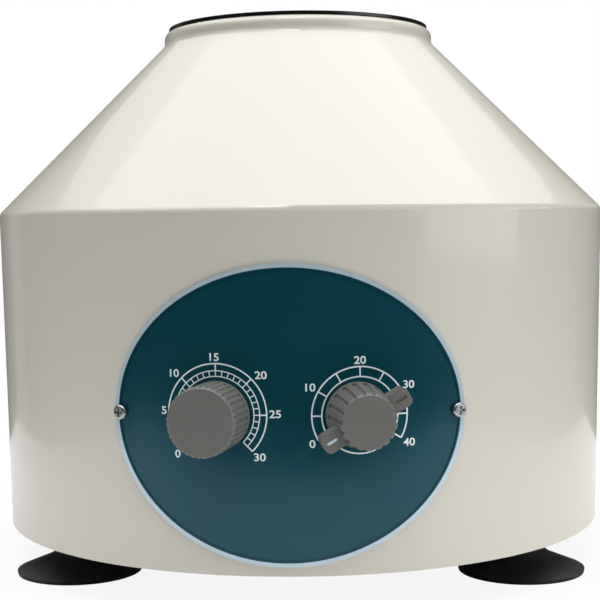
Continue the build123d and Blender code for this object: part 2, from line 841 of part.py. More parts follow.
# Lower end shield: disc with a bearing boss, stands on three legs over the fan
leg_top_z = bracket_top_z + leg_height
can_bottom_z = leg_top_z + shield_sheet
can_top_z = can_bottom_z + can_height
core_top_z = can_top_z - core_drop
core_bottom_z = core_top_z - core_height
commutator_bottom_z = can_bottom_z + commutator_rise
commutator_top_z = commutator_bottom_z + commutator_height
bearing_seat_radius = bearing_radius + running_gap
with BuildPart() as lower_shield:
    with BuildSketch(Plane.XY.offset(leg_top_z)):
        Circle(motor_radius)
    extrude(amount=shield_sheet)
    with BuildSketch(Plane.XY.offset(can_bottom_z)):
        Circle(motor_radius - can_wall - slip_gap)
        Circle(motor_radius - can_wall - shield_lip, mode=Mode.SUBTRACT)
    extrude(amount=shield_lip)
    with BuildSketch(Plane.XY.offset(leg_top_z)):
        Circle(boss_radius)
    extrude(amount=shield_sheet + lower_boss_height)
    with BuildSketch(Plane.XY.offset(bracket_top_z)):
        with PolarLocations(leg_circle_radius, 3, start_angle=90):
            Circle(leg_radius)
    extrude(amount=leg_height)
    with BuildSketch(Plane.XY.offset(leg_top_z + shield_lip)):
        Circle(bearing_seat_radius)
    extrude(amount=shield_sheet + lower_boss_height, mode=Mode.SUBTRACT)
    with BuildSketch(Plane.XY.offset(leg_top_z)):
        Circle(shaft_radius + boot_gap)
        with PolarLocations(shield_vent_circle, shield_vents):
            SlotOverall(shield_vent_length, shield_vent_width, rotation=90)
    extrude(amount=shield_sheet, mode=Mode.SUBTRACT)
    with BuildSketch(Plane.XY.offset(bracket_top_z)):
        with PolarLocations(leg_circle_radius, 3, start_angle=90):
            Circle(bolt_radius)
    extrude(amount=leg_bore_depth, mode=Mode.SUBTRACT)
    with BuildSketch(Plane.XY.offset(leg_top_z)):
        with PolarLocations(bolt_circle_radius, 2, start_angle=bolt_angle):
            Circle(bolt_radius)
    extrude(amount=shield_sheet, mode=Mode.SUBTRACT)
lower_shield.part.label = "lower_shield"
export_step(lower_shield.part, "parts/lower_shield.step")

# Leg screws, from under the bracket
with BuildPart() as leg_screws:
    with BuildSketch(Plane.XY.offset(bracket_bottom_z)):
        with PolarLocations(leg_circle_radius, 3, start_angle=90):
            Circle(screw_head_share * bolt_radius)
    extrude(amount=-screw_head_rise * bolt_radius)
    with BuildSketch(Plane.XY.offset(bracket_bottom_z)):
        with PolarLocations(leg_circle_radius, 3, start_angle=90):
            Circle(bolt_radius)
    extrude(amount=bracket_sheet + leg_screw_reach)
leg_screws.part.label = "leg_screws"
export_step(leg_screws.part, "parts/leg_screws.step")

# Motor can, with two round windows for the brush holders
brush_z = (commutator_bottom_z + commutator_top_z) / 2
holder_radius = sqrt(brush_width ** 2 + brush_height ** 2) / 2 + brush_wall
with BuildPart() as motor_can:
    with BuildSketch(Plane.XY.offset(can_bottom_z)):
        Circle(motor_radius)
        Circle(motor_radius - can_wall, mode=Mode.SUBTRACT)
    extrude(amount=can_height)
    for azimuth in (-90.0, 90.0):
        with BuildSketch(facing(azimuth, motor_radius, brush_z)):
            Circle(holder_radius + slip_gap)
        extrude(amount=-4 * can_wall, mode=Mode.SUBTRACT)
motor_can.part.label = "motor_can"
export_step(motor_can.part, "parts/motor_can.step")

# Upper end shield, with the upper bearing's boss
bearing_seat_z = can_top_z - bearing_sunk
with BuildPart() as upper_shield:
    with BuildSketch(Plane.XY.offset(can_top_z)):
        Circle(motor_radius)
    extrude(amount=shield_sheet)
    with BuildSketch(Plane.XY.offset(can_top_z)):
        Circle(motor_radius - can_wall - slip_gap)
        Circle(motor_radius - can_wall - shield_lip, mode=Mode.SUBTRACT)
    extrude(amount=-shield_lip)
    with BuildSketch(Plane.XY.offset(bearing_seat_z)):
        Circle(boss_radius)
    extrude(amount=bearing_width + bearing_sunk)
    with BuildSketch(Plane.XY.offset(bearing_seat_z)):
        Circle(bearing_seat_radius)
    extrude(amount=bearing_width, mode=Mode.SUBTRACT)
    with BuildSketch(Plane.XY.offset(bearing_seat_z)):
        Circle(shaft_radius + boot_gap)
        with PolarLocations(shield_vent_circle, shield_vents):
            SlotOverall(shield_vent_length, shield_vent_width, rotation=90)
    extrude(amount=2 * bearing_width, mode=Mode.SUBTRACT)
    with BuildSketch(Plane.XY.offset(can_top_z)):
        with PolarLocations(bolt_circle_radius, 2, start_angle=bolt_angle):
            Circle(bolt_radius + screw_gap)
    extrude(amount=shield_sheet, mode=Mode.SUBTRACT)
upper_shield.part.label = "upper_shield"
export_step(upper_shield.part, "parts/upper_shield.step")

# Two ball bearings that carry the shaft, with a shallow groove between their rings
bearing_bottoms = (leg_top_z + shield_lip, bearing_seat_z)
with BuildPart() as ball_bearings:
    for bottom in bearing_bottoms:
        with BuildSketch(Plane.XY.offset(bottom)):
            Circle(bearing_radius)
            Circle(shaft_radius + running_gap, mode=Mode.SUBTRACT)
        extrude(amount=bearing_width)
        for face, way in ((bottom, 1), (bottom + bearing_width, -1)):
            with BuildSketch(Plane.XY.offset(face)):
                Circle(bearing_radius - bearing_ring)
                Circle(shaft_radius + bearing_ring, mode=Mode.SUBTRACT)
            extrude(amount=way * bearing_groove, mode=Mode.SUBTRACT)
ball_bearings.part.label = "ball_bearings"
export_step(ball_bearings.part, "parts/ball_bearings.step")

# Field core: a ring of laminations with two poles, notched for the through bolts
field_radius_outer = motor_radius - can_wall - slip_gap
field_ring = 6.0
pole_face_radius = armature_radius + air_gap
pole_shoe = 2.5
pole_neck = 12.0
with BuildSketch() as pole_shoes:
    Circle(pole_face_radius + pole_shoe)
    Circle(pole_face_radius, mode=Mode.SUBTRACT)
    Rectangle(1.6 * pole_face_radius, 4 * pole_face_radius, mode=Mode.INTERSECT)
with BuildSketch() as pole_necks:
    Rectangle(pole_neck, 2 * field_radius_outer - field_ring)
    Circle(pole_face_radius + pole_shoe / 2, mode=Mode.SUBTRACT)
with BuildPart() as field_core:
    with BuildSketch(Plane.XY.offset(core_bottom_z)):
        Circle(field_radius_outer)
        Circle(field_radius_outer - field_ring, mode=Mode.SUBTRACT)
        add(pole_shoes.sketch)
        add(pole_necks.sketch)
        with PolarLocations(bolt_circle_radius, 2, start_angle=bolt_angle):
            Circle(bolt_radius + screw_gap, mode=Mode.SUBTRACT)
    extrude(amount=core_height)
field_core.part.label = "field_core"
export_step(field_core.part, "parts/field_core.step")

# Field coils: one flat coil round each pole's neck
core_mid_z = (core_bottom_z + core_top_z) / 2
coil_start = pole_face_radius + pole_shoe + running_gap
coil_side = 5.0
coil_depth = 2.2
with BuildPart() as field_coils:
    for azimuth in (0.0, 180.0):
        with BuildSketch(facing(azimuth, coil_start, core_mid_z)):
            RectangleRounded(pole_neck + 2 * coil_side, core_height + 2 * coil_side, 3.5)
            Rectangle(pole_neck + 2 * slip_gap, core_height + 2 * slip_gap, mode=Mode.SUBTRACT)
        extrude(amount=coil_depth)
field_coils.part.label = "field_coils"
export_step(field_coils.part, "parts/field_coils.step")

# Brush holders and carbon brushes, either side of the commutator
brush_azimuths = (-90.0, 90.0)
brush_start = commutator_radius + seat_gap
holder_start = commutator_radius + 2.0
with BuildPart() as brush_holders:
    for azimuth in brush_azimuths:
        with BuildSketch(facing(azimuth, holder_start, brush_z)):
            Circle(holder_radius)
        extrude(amount=brush_holder_length)
        with BuildSketch(facing(azimuth, holder_start, brush_z)):
            Rectangle(brush_width + 2 * running_gap, brush_height + 2 * running_gap)
        extrude(amount=brush_holder_length - 2.0, mode=Mode.SUBTRACT)
brush_holders.part.label = "brush_holders"
export_step(brush_holders.part, "parts/brush_holders.step")

with BuildPart() as carbon_brushes:
    for azimuth in brush_azimuths:
        with BuildSketch(facing(azimuth, brush_start, brush_z)):
            Rectangle(brush_width, brush_height)
        extrude(amount=brush_length)
carbon_brushes.part.label = "carbon_brushes"
export_step(carbon_brushes.part, "parts/carbon_brushes.step")

# Through bolts that clamp the motor together
bolt_length = can_top_z + shield_sheet - leg_top_z - bolt_end_gap
bolt_parts = [
    pan_screw(
        Plane((
            bolt_circle_radius * cos(radians(bolt_angle + turn)),
            bolt_circle_radius * sin(radians(bolt_angle + turn)),
            can_top_z + shield_sheet,
        )),
        bolt_radius, bolt_length,
    )
    for turn in (0.0, 180.0)
]
with BuildPart() as through_bolts:
    add(bolt_parts)
through_bolts.part.label = "through_bolts"
export_step(through_bolts.part, "parts/through_bolts.step")

# Shaft: from the fan up through both bearings to the rotor, ending in a stud
fan_bottom_z = bracket_top_z + fan_gap
hub_top_z = rotor_point(0.0, -funnel_inner)[1]
with BuildPart() as motor_shaft:
    with BuildSketch(Plane.XY.offset(fan_bottom_z)):
        Circle(shaft_radius)
    extrude(amount=hub_top_z - fan_bottom_z)
    with BuildSketch(Plane.XY.offset(hub_top_z)):
        Circle(stud_radius)
    extrude(amount=stud_length)
    chamfer(motor_shaft.faces().sort_by(Axis.Z)[-1].edges(), length=0.8)
motor_shaft.part.label = "motor_shaft"
export_step(motor_shaft.part, "parts/motor_shaft.step")

# Armature core with slots, its winding and the commutator
slot_root = 14.5
slot_width = 3.4
with BuildPart() as armature_core:
    with BuildSketch(Plane.XY.offset(core_bottom_z)):
        Circle(armature_radius)
        Circle(shaft_radius + running_gap, mode=Mode.SUBTRACT)
        with PolarLocations((slot_root + armature_radius + 1.0) / 2, armature_slots):
            Rectangle(armature_radius + 1.0 - slot_root, slot_width, mode=Mode.SUBTRACT)
    extrude(amount=core_height)
armature_core.part.label = "armature_core"
export_step(armature_core.part, "parts/armature_core.step")

winding_overhang = 4.5
winding_outer = armature_radius - 2.5
winding_inner = shaft_radius + 3.0
with BuildPart() as armature_winding:
    for start in (core_bottom_z - winding_overhang, core_top_z):
        with BuildSketch(Plane.XY.offset(start)):
            Circle(winding_outer)
            Circle(winding_inner, mode=Mode.SUBTRACT)
        extrude(amount=winding_overhang)
    fillet(armature_winding.edges().filter_by(GeomType.CIRCLE).group_by(Axis.Z)[0], radius=2.0)
    fillet(armature_winding.edges().filter_by(GeomType.CIRCLE).group_by(Axis.Z)[-1], radius=2.0)
    with BuildSketch(Plane.XY.offset(core_bottom_z)):
        with PolarLocations((slot_root + winding_outer) / 2 + 0.1, armature_slots):
            Rectangle(winding_outer - slot_root, slot_width - 2 * slip_gap)
    extrude(amount=core_height)
armature_winding.part.label = "armature_winding"
export_step(armature_winding.part, "parts/armature_winding.step")

commutator_bars = 24
with BuildPart() as commutator:
    with BuildSketch(Plane.XY.offset(commutator_bottom_z)):
        Circle(commutator_radius)
        Circle(shaft_radius + running_gap, mode=Mode.SUBTRACT)
        with PolarLocations(commutator_radius, commutator_bars):
            Rectangle(1.6, 0.5, mode=Mode.SUBTRACT)
    extrude(amount=commutator_height)
commutator.part.label = "commutator"
export_step(commutator.part, "parts/commutator.step")

# Cooling fan under the lower shield
with BuildPart() as cooling_fan:
    with BuildSketch(Plane.XY.offset(fan_bottom_z)):
        Circle(fan_hub)
    extrude(amount=fan_height)
    with BuildSketch(Plane.XY.offset(fan_bottom_z + fan_height - fan_disc)):
        Circle(fan_radius)
    extrude(amount=fan_disc)
    with BuildSketch(Plane.XY.offset(fan_bottom_z)):
        with PolarLocations((fan_hub + fan_radius) / 2 - fan_blade_inset, fan_blades):
            Rectangle(fan_radius - fan_hub, fan_blade, rotation=fan_blade_turn)
    extrude(amount=fan_height - fan_disc / 2)
    with BuildSketch(Plane.XY.offset(fan_bottom_z)):
        Circle(shaft_radius + running_gap)
    extrude(amount=fan_height, mode=Mode.SUBTRACT)
cooling_fan.part.label = "cooling_fan"
export_step(cooling_fan.part, "parts/cooling_fan.step")

# Rotor head: hub, funnel with eight slanted seats, and a dished web whose rim carries the sleeves' ends
rim_start = sleeve_length + seat_gap
tube_step = 360.0 / tube_count
web_top_z = rotor_point(rim_start, -rim_half_width)[1]
with BuildPart() as rotor_head:
    with BuildSketch(Plane.XZ):
        with BuildLine():
            Polyline(
                (shaft_radius + running_gap, hub_bottom_z),
                (hub_radius, hub_bottom_z),
                (hub_radius, web_top_z - web_sheet),
                (rotor_point(rim_start + rim_sheet, -rim_half_width)[0], web_top_z - web_sheet),
                rotor_point(rim_start + rim_sheet, rim_half_width),
                rotor_point(rim_start, rim_half_width),
                rotor_point(rim_start, -rim_half_width),
                (hub_radius, web_top_z),
                (hub_radius, hub_top_z - funnel_sheet),
                (rotor_point(funnel_sheet, -funnel_inner)[0], hub_top_z - funnel_sheet),
                rotor_point(funnel_sheet, funnel_outer),
                rotor_point(0.0, funnel_outer),
                rotor_point(0.0, -funnel_inner),
                (shaft_radius + running_gap, hub_top_z),
                close=True,
            )
        make_face()
    revolve(axis=Axis.Z)
    for number in range(tube_count):
        with BuildSketch(tube_plane(number * tube_step, -funnel_sheet)):
            Circle(sleeve_flange_radius + seat_gap)
        extrude(amount=-funnel_sheet, mode=Mode.SUBTRACT)
        with BuildSketch(tube_plane(number * tube_step, 0.0)):
            Circle(sleeve_bore_radius + sleeve_wall + slip_gap)
        extrude(amount=-3 * funnel_sheet, mode=Mode.SUBTRACT)
rotor_head.part.label = "rotor_head"
export_step(rotor_head.part, "parts/rotor_head.step")

# Rotor nut: hexagonal, with a washer face and a domed cap
with BuildPart() as rotor_nut:
    with BuildSketch(Plane.XY.offset(hub_top_z)):
        Circle(nut_radius + nut_washer)
    extrude(amount=nut_washer_height)
    with BuildSketch(Plane.XY.offset(hub_top_z + nut_washer_height)):
        RegularPolygon(nut_radius, 6)
    extrude(amount=nut_flat_height)
    with BuildSketch(Plane.XY.offset(hub_top_z + nut_washer_height + nut_flat_height)):
        Circle(nut_radius * nut_dome_share)
    extrude(amount=nut_dome_height, taper=nut_dome_taper)
    with BuildSketch(Plane.XY.offset(hub_top_z)):
        Circle(stud_radius + running_gap)
    extrude(amount=nut_bore_depth, mode=Mode.SUBTRACT)
rotor_nut.part.label = "rotor_nut"
export_step(rotor_nut.part, "parts/rotor_nut.step")

# Eight tube sleeves, hung in the seats by their flanges, each with a pocket for its cushion
sleeve_radius = sleeve_bore_radius + sleeve_wall
bore_end = sleeve_length - sleeve_floor - cushion_height
for number in range(tube_count):
    azimuth = number * tube_step
    mouth = tube_plane(azimuth, 0.0)
    with BuildPart() as tube_sleeve:
        with BuildSketch(mouth):
            Circle(sleeve_radius)
        extrude(amount=-sleeve_length)
        fillet(tube_sleeve.edges().sort_by(Axis(mouth.origin, mouth.z_dir))[0], radius=sleeve_round)
        with BuildSketch(mouth):
            Circle(sleeve_flange_radius)
        extrude(amount=sleeve_flange)
        with BuildSketch(tube_plane(azimuth, -sleeve_flange)):
            Circle(sleeve_bore_radius)
        extrude(amount=-(bore_end + sleeve_flange), mode=Mode.SUBTRACT)
        with BuildSketch(tube_plane(azimuth, bore_end)):
            Circle(cushion_radius + running_gap)
        extrude(amount=-cushion_height, mode=Mode.SUBTRACT)
    tube_sleeve.part.label = f"tube_sleeve_{number + 1}"
    export_step(tube_sleeve.part, f"parts/tube_sleeve_{number + 1}.step")

with BuildPart() as tube_cushions:
    for number in range(tube_count):
        with BuildSketch(tube_plane(number * tube_step, bore_end + cushion_height)):
            Circle(cushion_radius)
        extrude(amount=cushion_height - screw_gap)
tube_cushions.part.label = "tube_cushions"
export_step(tube_cushions.part, "parts/tube_cushions.step")

# Lid: low dome, spigot into the mouth, finger grip between two scoops, hinge knuckle behind
lid_bottom_z = collar_top_z + lid_gap
lid_edge_z = lid_bottom_z + lid_edge
lid_top_z = lid_edge_z + lid_rise
lid_under_z = lid_bottom_z + lid_ceiling
dome_radius = (lid_radius ** 2 + lid_rise ** 2) / (2 * lid_rise)
dome_mid_z = lid_top_z - dome_radius + sqrt(dome_radius ** 2 - (lid_radius / 2) ** 2)
grip_y = grip_width / 2
scoop_floor_z = lid_top_z - scoop_depth
grip_top_z = lid_top_z + grip_rise
with BuildPart() as lid:
    with BuildSketch(Plane.XZ):
        with BuildLine():
            Polyline(
                (0, lid_under_z),
                (spigot_radius - spigot_wall, lid_under_z),
                (spigot_radius - spigot_wall, lid_bottom_z - spigot_depth),
                (spigot_radius, lid_bottom_z - spigot_depth),
                (spigot_radius, lid_bottom_z),
                (lid_radius, lid_bottom_z),
                (lid_radius, lid_edge_z),
            )
            ThreePointArc((lid_radius, lid_edge_z), (lid_radius / 2, dome_mid_z), (0, lid_top_z))
            Line((0, lid_top_z), (0, lid_under_z))
        make_face()
    revolve(axis=Axis.Z)
    for side in (-1, 1):
        with BuildSketch(Plane.XY.offset(scoop_floor_z)):
            with Locations((0, grip_y + side * (grip_width + scoop_width) / 2)):
                SlotOverall(grip_length, scoop_width)
        extrude(amount=scoop_room, mode=Mode.SUBTRACT)
    with BuildSketch(Plane.XY.offset(scoop_floor_z)):
        with Locations((0, grip_y)):
            RectangleRounded(grip_length, grip_width, grip_corner)
    extrude(amount=grip_top_z - scoop_floor_z)
    fillet(lid.faces().sort_by(Axis.Z)[-1].edges(), radius=grip_round)
    with BuildSketch(Plane.YZ):
        with BuildLine():
            Polyline(
                (lid_radius - arm_root_gap, lid_bottom_z + arm_low),
                (hinge_y, hinge_z - knuckle_radius),
                (hinge_y, hinge_z + knuckle_radius),
                (lid_radius - arm_root_gap, lid_edge_z + arm_high),
                close=True,
            )
        make_face()
        with Locations((hinge_y, hinge_z)):
            Circle(knuckle_radius)
    extrude(amount=knuckle_width / 2, both=True)
    with BuildSketch(Plane.YZ):
        with Locations((hinge_y, hinge_z)):
            Circle(pin_radius + running_gap)
    extrude(amount=knuckle_width, both=True, mode=Mode.SUBTRACT)
lid.part.label = "lid"
export_step(lid.part, "parts/lid.step")

# Rubber seal round the lid's spigot
seal_bottom_z = lid_bottom_z - spigot_depth + seal_rise
with BuildPart() as lid_seal:
    with BuildSketch(Plane.XZ):
        with BuildLine():
            Polyline(
                (spigot_radius + running_gap, seal_bottom_z),
                (spigot_radius + running_gap, seal_bottom_z + seal_height),
                (spigot_radius + seal_flank * seal_lip, seal_bottom_z + seal_height),
                (spigot_radius + seal_lip, seal_bottom_z + seal_height / 2),
                (spigot_radius + seal_flank * seal_lip, seal_bottom_z),
                close=True,
            )
        make_face()
    revolve(axis=Axis.Z)
lid_seal.part.label = "lid_seal"
export_step(lid_seal.part, "parts/lid_seal.step")


def section_plane(azimuth):
    """Upright plane through the axis: its x points outwards at the azimuth, its y up."""
    turn = radians(azimuth)
    return Plane(origin=(0, 0, 0), x_dir=(sin(turn), -cos(turn), 0), z_dir=(-cos(turn), -sin(turn), 0))


# Hinge bracket: a saddle on the cone, two ears and a stop web behind the knuckle
ear_inner = knuckle_width / 2 + seat_gap
ear_outer = ear_inner + ear_sheet
saddle_start_y = collar_radius + saddle_start_gap
saddle_end_y = hinge_y + saddle_length
saddle_top = running_gap + saddle_sheet
stop_end_y = hinge_y + stop_gap + ear_sheet
with BuildPart() as hinge_bracket:
    with BuildSketch(section_plane(180.0 - saddle_half_angle)):
        with BuildLine():
            Polyline(
                cone_point(saddle_start_y, running_gap),
                cone_point(saddle_end_y, running_gap),
                cone_point(saddle_end_y, saddle_top),
                cone_point(saddle_start_y, saddle_top),
                close=True,
            )
        make_face()
    revolve(axis=Axis.Z, revolution_arc=2 * saddle_half_angle)
    for side in (-1, 1):
        with BuildSketch(Plane.YZ.offset(side * ear_inner)):
            with BuildLine():
                Polyline(
                    cone_point(hinge_y - ear_toe, ear_lift),
                    cone_point(hinge_y + ear_heel, ear_lift),
                    (hinge_y + ear_radius, hinge_z),
                    (hinge_y - ear_radius, hinge_z),
                    close=True,
                )
            make_face()
            with Locations((hinge_y, hinge_z)):
                Circle(ear_radius)
                Circle(pin_radius + running_gap / 2, mode=Mode.SUBTRACT)
        extrude(amount=side * ear_sheet)
    with BuildSketch(Plane.YZ):
        with BuildLine():
            Polyline(
                (hinge_y + stop_gap, cone_point(hinge_y + stop_gap, 0.0)[1] + stop_lift),
                (stop_end_y, cone_point(stop_end_y, 0.0)[1] + stop_lift),
                (stop_end_y, hinge_z + knuckle_radius),
                (hinge_y + stop_gap, hinge_z + knuckle_radius),
                close=True,
            )
        make_face()
    extrude(amount=ear_outer, both=True)
    for plane in hinge_screw_planes:
        with BuildSketch(plane):
            Circle(case_screw_hole)
        extrude(amount=2 * saddle_sheet, mode=Mode.SUBTRACT)
hinge_bracket.part.label = "hinge_bracket"
export_step(hinge_bracket.part, "parts/hinge_bracket.step")

with BuildPart() as hinge_pin:
    with BuildSketch(Plane.YZ):
        with Locations((hinge_y, hinge_z)):
            Circle(pin_radius)
    extrude(amount=ear_outer + running_gap, both=True)
    for side in (-1, 1):
        with BuildSketch(Plane.YZ.offset(side * (ear_outer + running_gap))):
            with Locations((hinge_y, hinge_z)):
                Circle(pin_head_radius)
        extrude(amount=side * pin_head)
hinge_pin.part.label = "hinge_pin"
export_step(hinge_pin.part, "parts/hinge_pin.step")

hinge_nut_parts = [
    hex_nut(
        plane.offset(-sheet - slip_gap - hinge_nut_height), hinge_nut_across, hinge_nut_height,
        case_screw_radius + running_gap,
    )
    for plane in hinge_screw_planes
]
with BuildPart() as hinge_nuts:
    add(hinge_nut_parts)
hinge_nuts.part.label = "hinge_nuts"
export_step(hinge_nuts.part, "parts/hinge_nuts.step")


def case_setback(radius):
    """Depth behind the control plate's face at which a round case clears the drum's inside."""
    inner = min(drum_radius(control_z - radius), drum_radius(control_z + radius)) - sheet
    return field_radius - sqrt(inner ** 2 - radius ** 2) + seat_gap


# Timer movement: round case inside the drum, threaded bushing through the wall and the plate
timer_setback = case_setback(timer_case_radius)
with BuildPart() as timer_movement:
    with BuildSketch(timer_plane.offset(-timer_setback)):
        Circle(timer_case_radius)
    extrude(amount=-timer_case_depth)
    with BuildSketch(timer_plane.offset(-timer_setback)):
        Circle(bushing_radius)
    extrude(amount=timer_setback + bushing_reach)
    with BuildSketch(timer_plane.offset(-timer_setback - timer_case_depth)):
        with GridLocations(0, timer_tag_spacing, 1, 2):
            Rectangle(tag_width, tag_sheet)
    extrude(amount=-tag_length)
    with BuildSketch(timer_plane.offset(bushing_reach)):
        Circle(spindle_radius + running_gap)
    extrude(amount=-(bushing_reach + timer_setback + spindle_depth), mode=Mode.SUBTRACT)
timer_movement.part.label = "timer_movement"
export_step(timer_movement.part, "parts/timer_movement.step")

# Speed potentiometer, with the same bushing and three solder tags
speed_setback = case_setback(speed_case_radius)
with BuildPart() as speed_potentiometer:
    with BuildSketch(speed_plane.offset(-speed_setback)):
        Circle(speed_case_radius)
    extrude(amount=-speed_case_depth)
    with BuildSketch(speed_plane.offset(-speed_setback)):
        Circle(bushing_radius)
    extrude(amount=speed_setback + bushing_reach)
    with BuildSketch(speed_plane.offset(-speed_setback - solder_tag_width)):
        with Locations((0, -speed_case_radius - solder_tag_length / 3)):
            with GridLocations(solder_tag_spacing, 0, 3, 1):
                Rectangle(solder_tag_width, solder_tag_length)
    extrude(amount=-solder_tag_sheet)
    with BuildSketch(speed_plane.offset(bushing_reach)):
        Circle(spindle_radius + running_gap)
    extrude(amount=-(bushing_reach + speed_setback + spindle_depth), mode=Mode.SUBTRACT)
speed_potentiometer.part.label = "speed_potentiometer"
export_step(speed_potentiometer.part, "parts/speed_potentiometer.step")

# Nuts that hold both bushings, hidden in the hollows of the knobs
bushing_nut_parts = [
    hex_nut(plane.offset(screw_gap), nut_across, nut_height, bushing_radius + running_gap)
    for plane in (timer_plane, speed_plane)
]
with BuildPart() as bushing_nuts:
    add(bushing_nut_parts)
bushing_nuts.part.label = "bushing_nuts"
export_step(bushing_nuts.part, "parts/bushing_nuts.step")

# Spindles, from inside the timer and the potentiometer into the knobs
with BuildPart() as timer_spindle:
    with BuildSketch(timer_plane.offset(-timer_setback - spindle_depth + seat_gap)):
        Circle(spindle_radius)
    extrude(amount=timer_setback + spindle_depth + knob_back_gap + knob_bore_depth - 2 * seat_gap)
timer_spindle.part.label = "timer_spindle"
export_step(timer_spindle.part, "parts/timer_spindle.step")

with BuildPart() as speed_spindle:
    with BuildSketch(speed_plane.offset(-speed_setback - spindle_depth + seat_gap)):
        Circle(spindle_radius)
    extrude(amount=speed_setback + spindle_depth + knob_back_gap + knob_bore_depth - 2 * seat_gap)
speed_spindle.part.label = "speed_spindle"
export_step(speed_spindle.part, "parts/speed_spindle.step")

# Timer knob: straight, finely fluted above a plain band, hollow behind
with BuildPart() as timer_knob:
    with BuildSketch(timer_plane.offset(knob_back_gap)):
        Circle(timer_knob_radius)
    extrude(amount=timer_knob_length)
    timer_front = timer_knob.faces().sort_by(Axis(timer_plane.origin, timer_plane.z_dir))[-1]
    chamfer(timer_front.edges(), length=knob_edge)
    with BuildSketch(timer_plane.offset(knob_back_gap + timer_band)):
        with PolarLocations(timer_knob_radius + flute_stand_off, timer_flutes):
            Circle(timer_flute_radius)
    extrude(amount=timer_knob_length, mode=Mode.SUBTRACT)
    with BuildSketch(timer_plane.offset(knob_back_gap)):
        Circle(knob_hollow_radius)
    extrude(amount=knob_hollow_depth, mode=Mode.SUBTRACT)
    with BuildSketch(timer_plane.offset(knob_back_gap)):
        Circle(spindle_radius + running_gap)
    extrude(amount=knob_bore_depth, mode=Mode.SUBTRACT)
timer_knob.part.label = "timer_knob"
export_step(timer_knob.part, "parts/timer_knob.step")


def knob_side(angle):
    """Plane at the speed knob's foot, its z running up the tapered side at an angle round the knob."""
    turn = radians(angle)
    out = speed_plane.x_dir * cos(turn) + speed_plane.y_dir * sin(turn)
    slope = speed_plane.z_dir * speed_knob_length - out * (speed_knob_foot_radius - speed_knob_face_radius)
    stand = speed_knob_foot_radius + flute_stand_off
    foot = speed_plane.origin + speed_plane.z_dir * knob_back_gap + out * stand
    return Plane(origin=foot, x_dir=out, z_dir=slope)


# Speed knob: tapered, coarsely fluted, with two lugs in line across it
speed_front = knob_back_gap + speed_knob_length
speed_side = Plane(origin=speed_plane.origin, x_dir=speed_plane.x_dir, z_dir=-speed_plane.y_dir)
with BuildPart() as speed_knob:
    with BuildSketch(speed_side):
        with BuildLine():
            Polyline(
                (0, knob_back_gap),
                (speed_knob_foot_radius, knob_back_gap),
                (speed_knob_face_radius, speed_front - knob_edge),
                (speed_knob_face_radius - knob_edge, speed_front),
                (0, speed_front),
                close=True,
            )
        make_face()
    revolve(axis=Axis(speed_plane.origin, speed_plane.z_dir))
    for step in range(speed_flutes):
        with BuildSketch(knob_side(pointer_angle + (step + 0.5) * 360.0 / speed_flutes).offset(speed_band)):
            Circle(speed_flute_radius)
        extrude(amount=speed_knob_length, mode=Mode.SUBTRACT)
    with BuildSketch(speed_plane.offset(knob_back_gap + lug_start)):
        RectangleRounded(2 * lug_reach, lug_width, lug_corner, rotation=pointer_angle)
    extrude(amount=lug_height)
    with BuildSketch(speed_plane.offset(knob_back_gap + lug_start + lug_height)):
        Rectangle(2 * (lug_reach - lug_groove_end), lug_groove_width, rotation=pointer_angle)
        Circle(speed_knob_foot_radius, mode=Mode.SUBTRACT)
    extrude(amount=-lug_groove_depth, mode=Mode.SUBTRACT)
    with BuildSketch(speed_plane.offset(knob_back_gap)):
        Circle(knob_hollow_radius)
    extrude(amount=knob_hollow_depth, mode=Mode.SUBTRACT)
    with BuildSketch(speed_plane.offset(knob_back_gap)):
        Circle(spindle_radius + running_gap)
    extrude(amount=knob_bore_depth, mode=Mode.SUBTRACT)
speed_knob.part.label = "speed_knob"
export_step(speed_knob.part, "parts/speed_knob.step")

# Mains inlet: flange, body, keyed well for the plug and a slot for the fuse drawer
inlet_seat = inlet_plane.offset(running_gap)
inlet_front = inlet_seat.offset(inlet_flange)
pin_places = [
    (well_offset - pin_row_offset, -pin_spacing),
    (well_offset - pin_row_offset, pin_spacing),
    (well_offset + pin_row_offset, 0.0),
]
with BuildPart() as mains_inlet:
    with BuildSketch(inlet_seat):
        RectangleRounded(inlet_width, inlet_height, inlet_corner)
    extrude(amount=inlet_flange)
    with BuildSketch(inlet_seat):
        Rectangle(inlet_body_width, inlet_body_height)
    extrude(amount=-inlet_depth)
    with BuildSketch(inlet_front):
        with Locations((well_offset, 0)):
            well = Rectangle(well_width, well_height)
        chamfer(well.vertices().group_by(Axis.X)[-1], length=well_key)
    extrude(amount=-well_depth, mode=Mode.SUBTRACT)
    with BuildSketch(inlet_front):
        with Locations((drawer_offset, 0)):
            Rectangle(drawer_width + 2 * seat_gap, drawer_height + 2 * seat_gap)
    extrude(amount=-drawer_depth - seat_gap, mode=Mode.SUBTRACT)
    with BuildSketch(inlet_front):
        with Locations(*pin_places):
            Rectangle(inlet_pin_width + 2 * running_gap, inlet_pin_height + 2 * running_gap)
    extrude(amount=-inlet_depth - inlet_flange, mode=Mode.SUBTRACT)
    with BuildSketch(inlet_front):
        with GridLocations(0, inlet_screw_spacing, 1, 2):
            Circle(plate_screw_radius + screw_gap)
    extrude(amount=-inlet_flange, mode=Mode.SUBTRACT)
mains_inlet.part.label = "mains_inlet"
export_step(mains_inlet.part, "parts/mains_inlet.step")

# Three flat pins through the inlet's floor, with tails behind
with BuildPart() as inlet_pins:
    with BuildSketch(inlet_front.offset(inlet_pin_length - well_depth)):
        with Locations(*pin_places):
            Rectangle(inlet_pin_width, inlet_pin_height)
    extrude(amount=-(inlet_pin_length - well_depth + inlet_flange + inlet_depth + inlet_tail))
inlet_pins.part.label = "inlet_pins"
export_step(inlet_pins.part, "parts/inlet_pins.step")

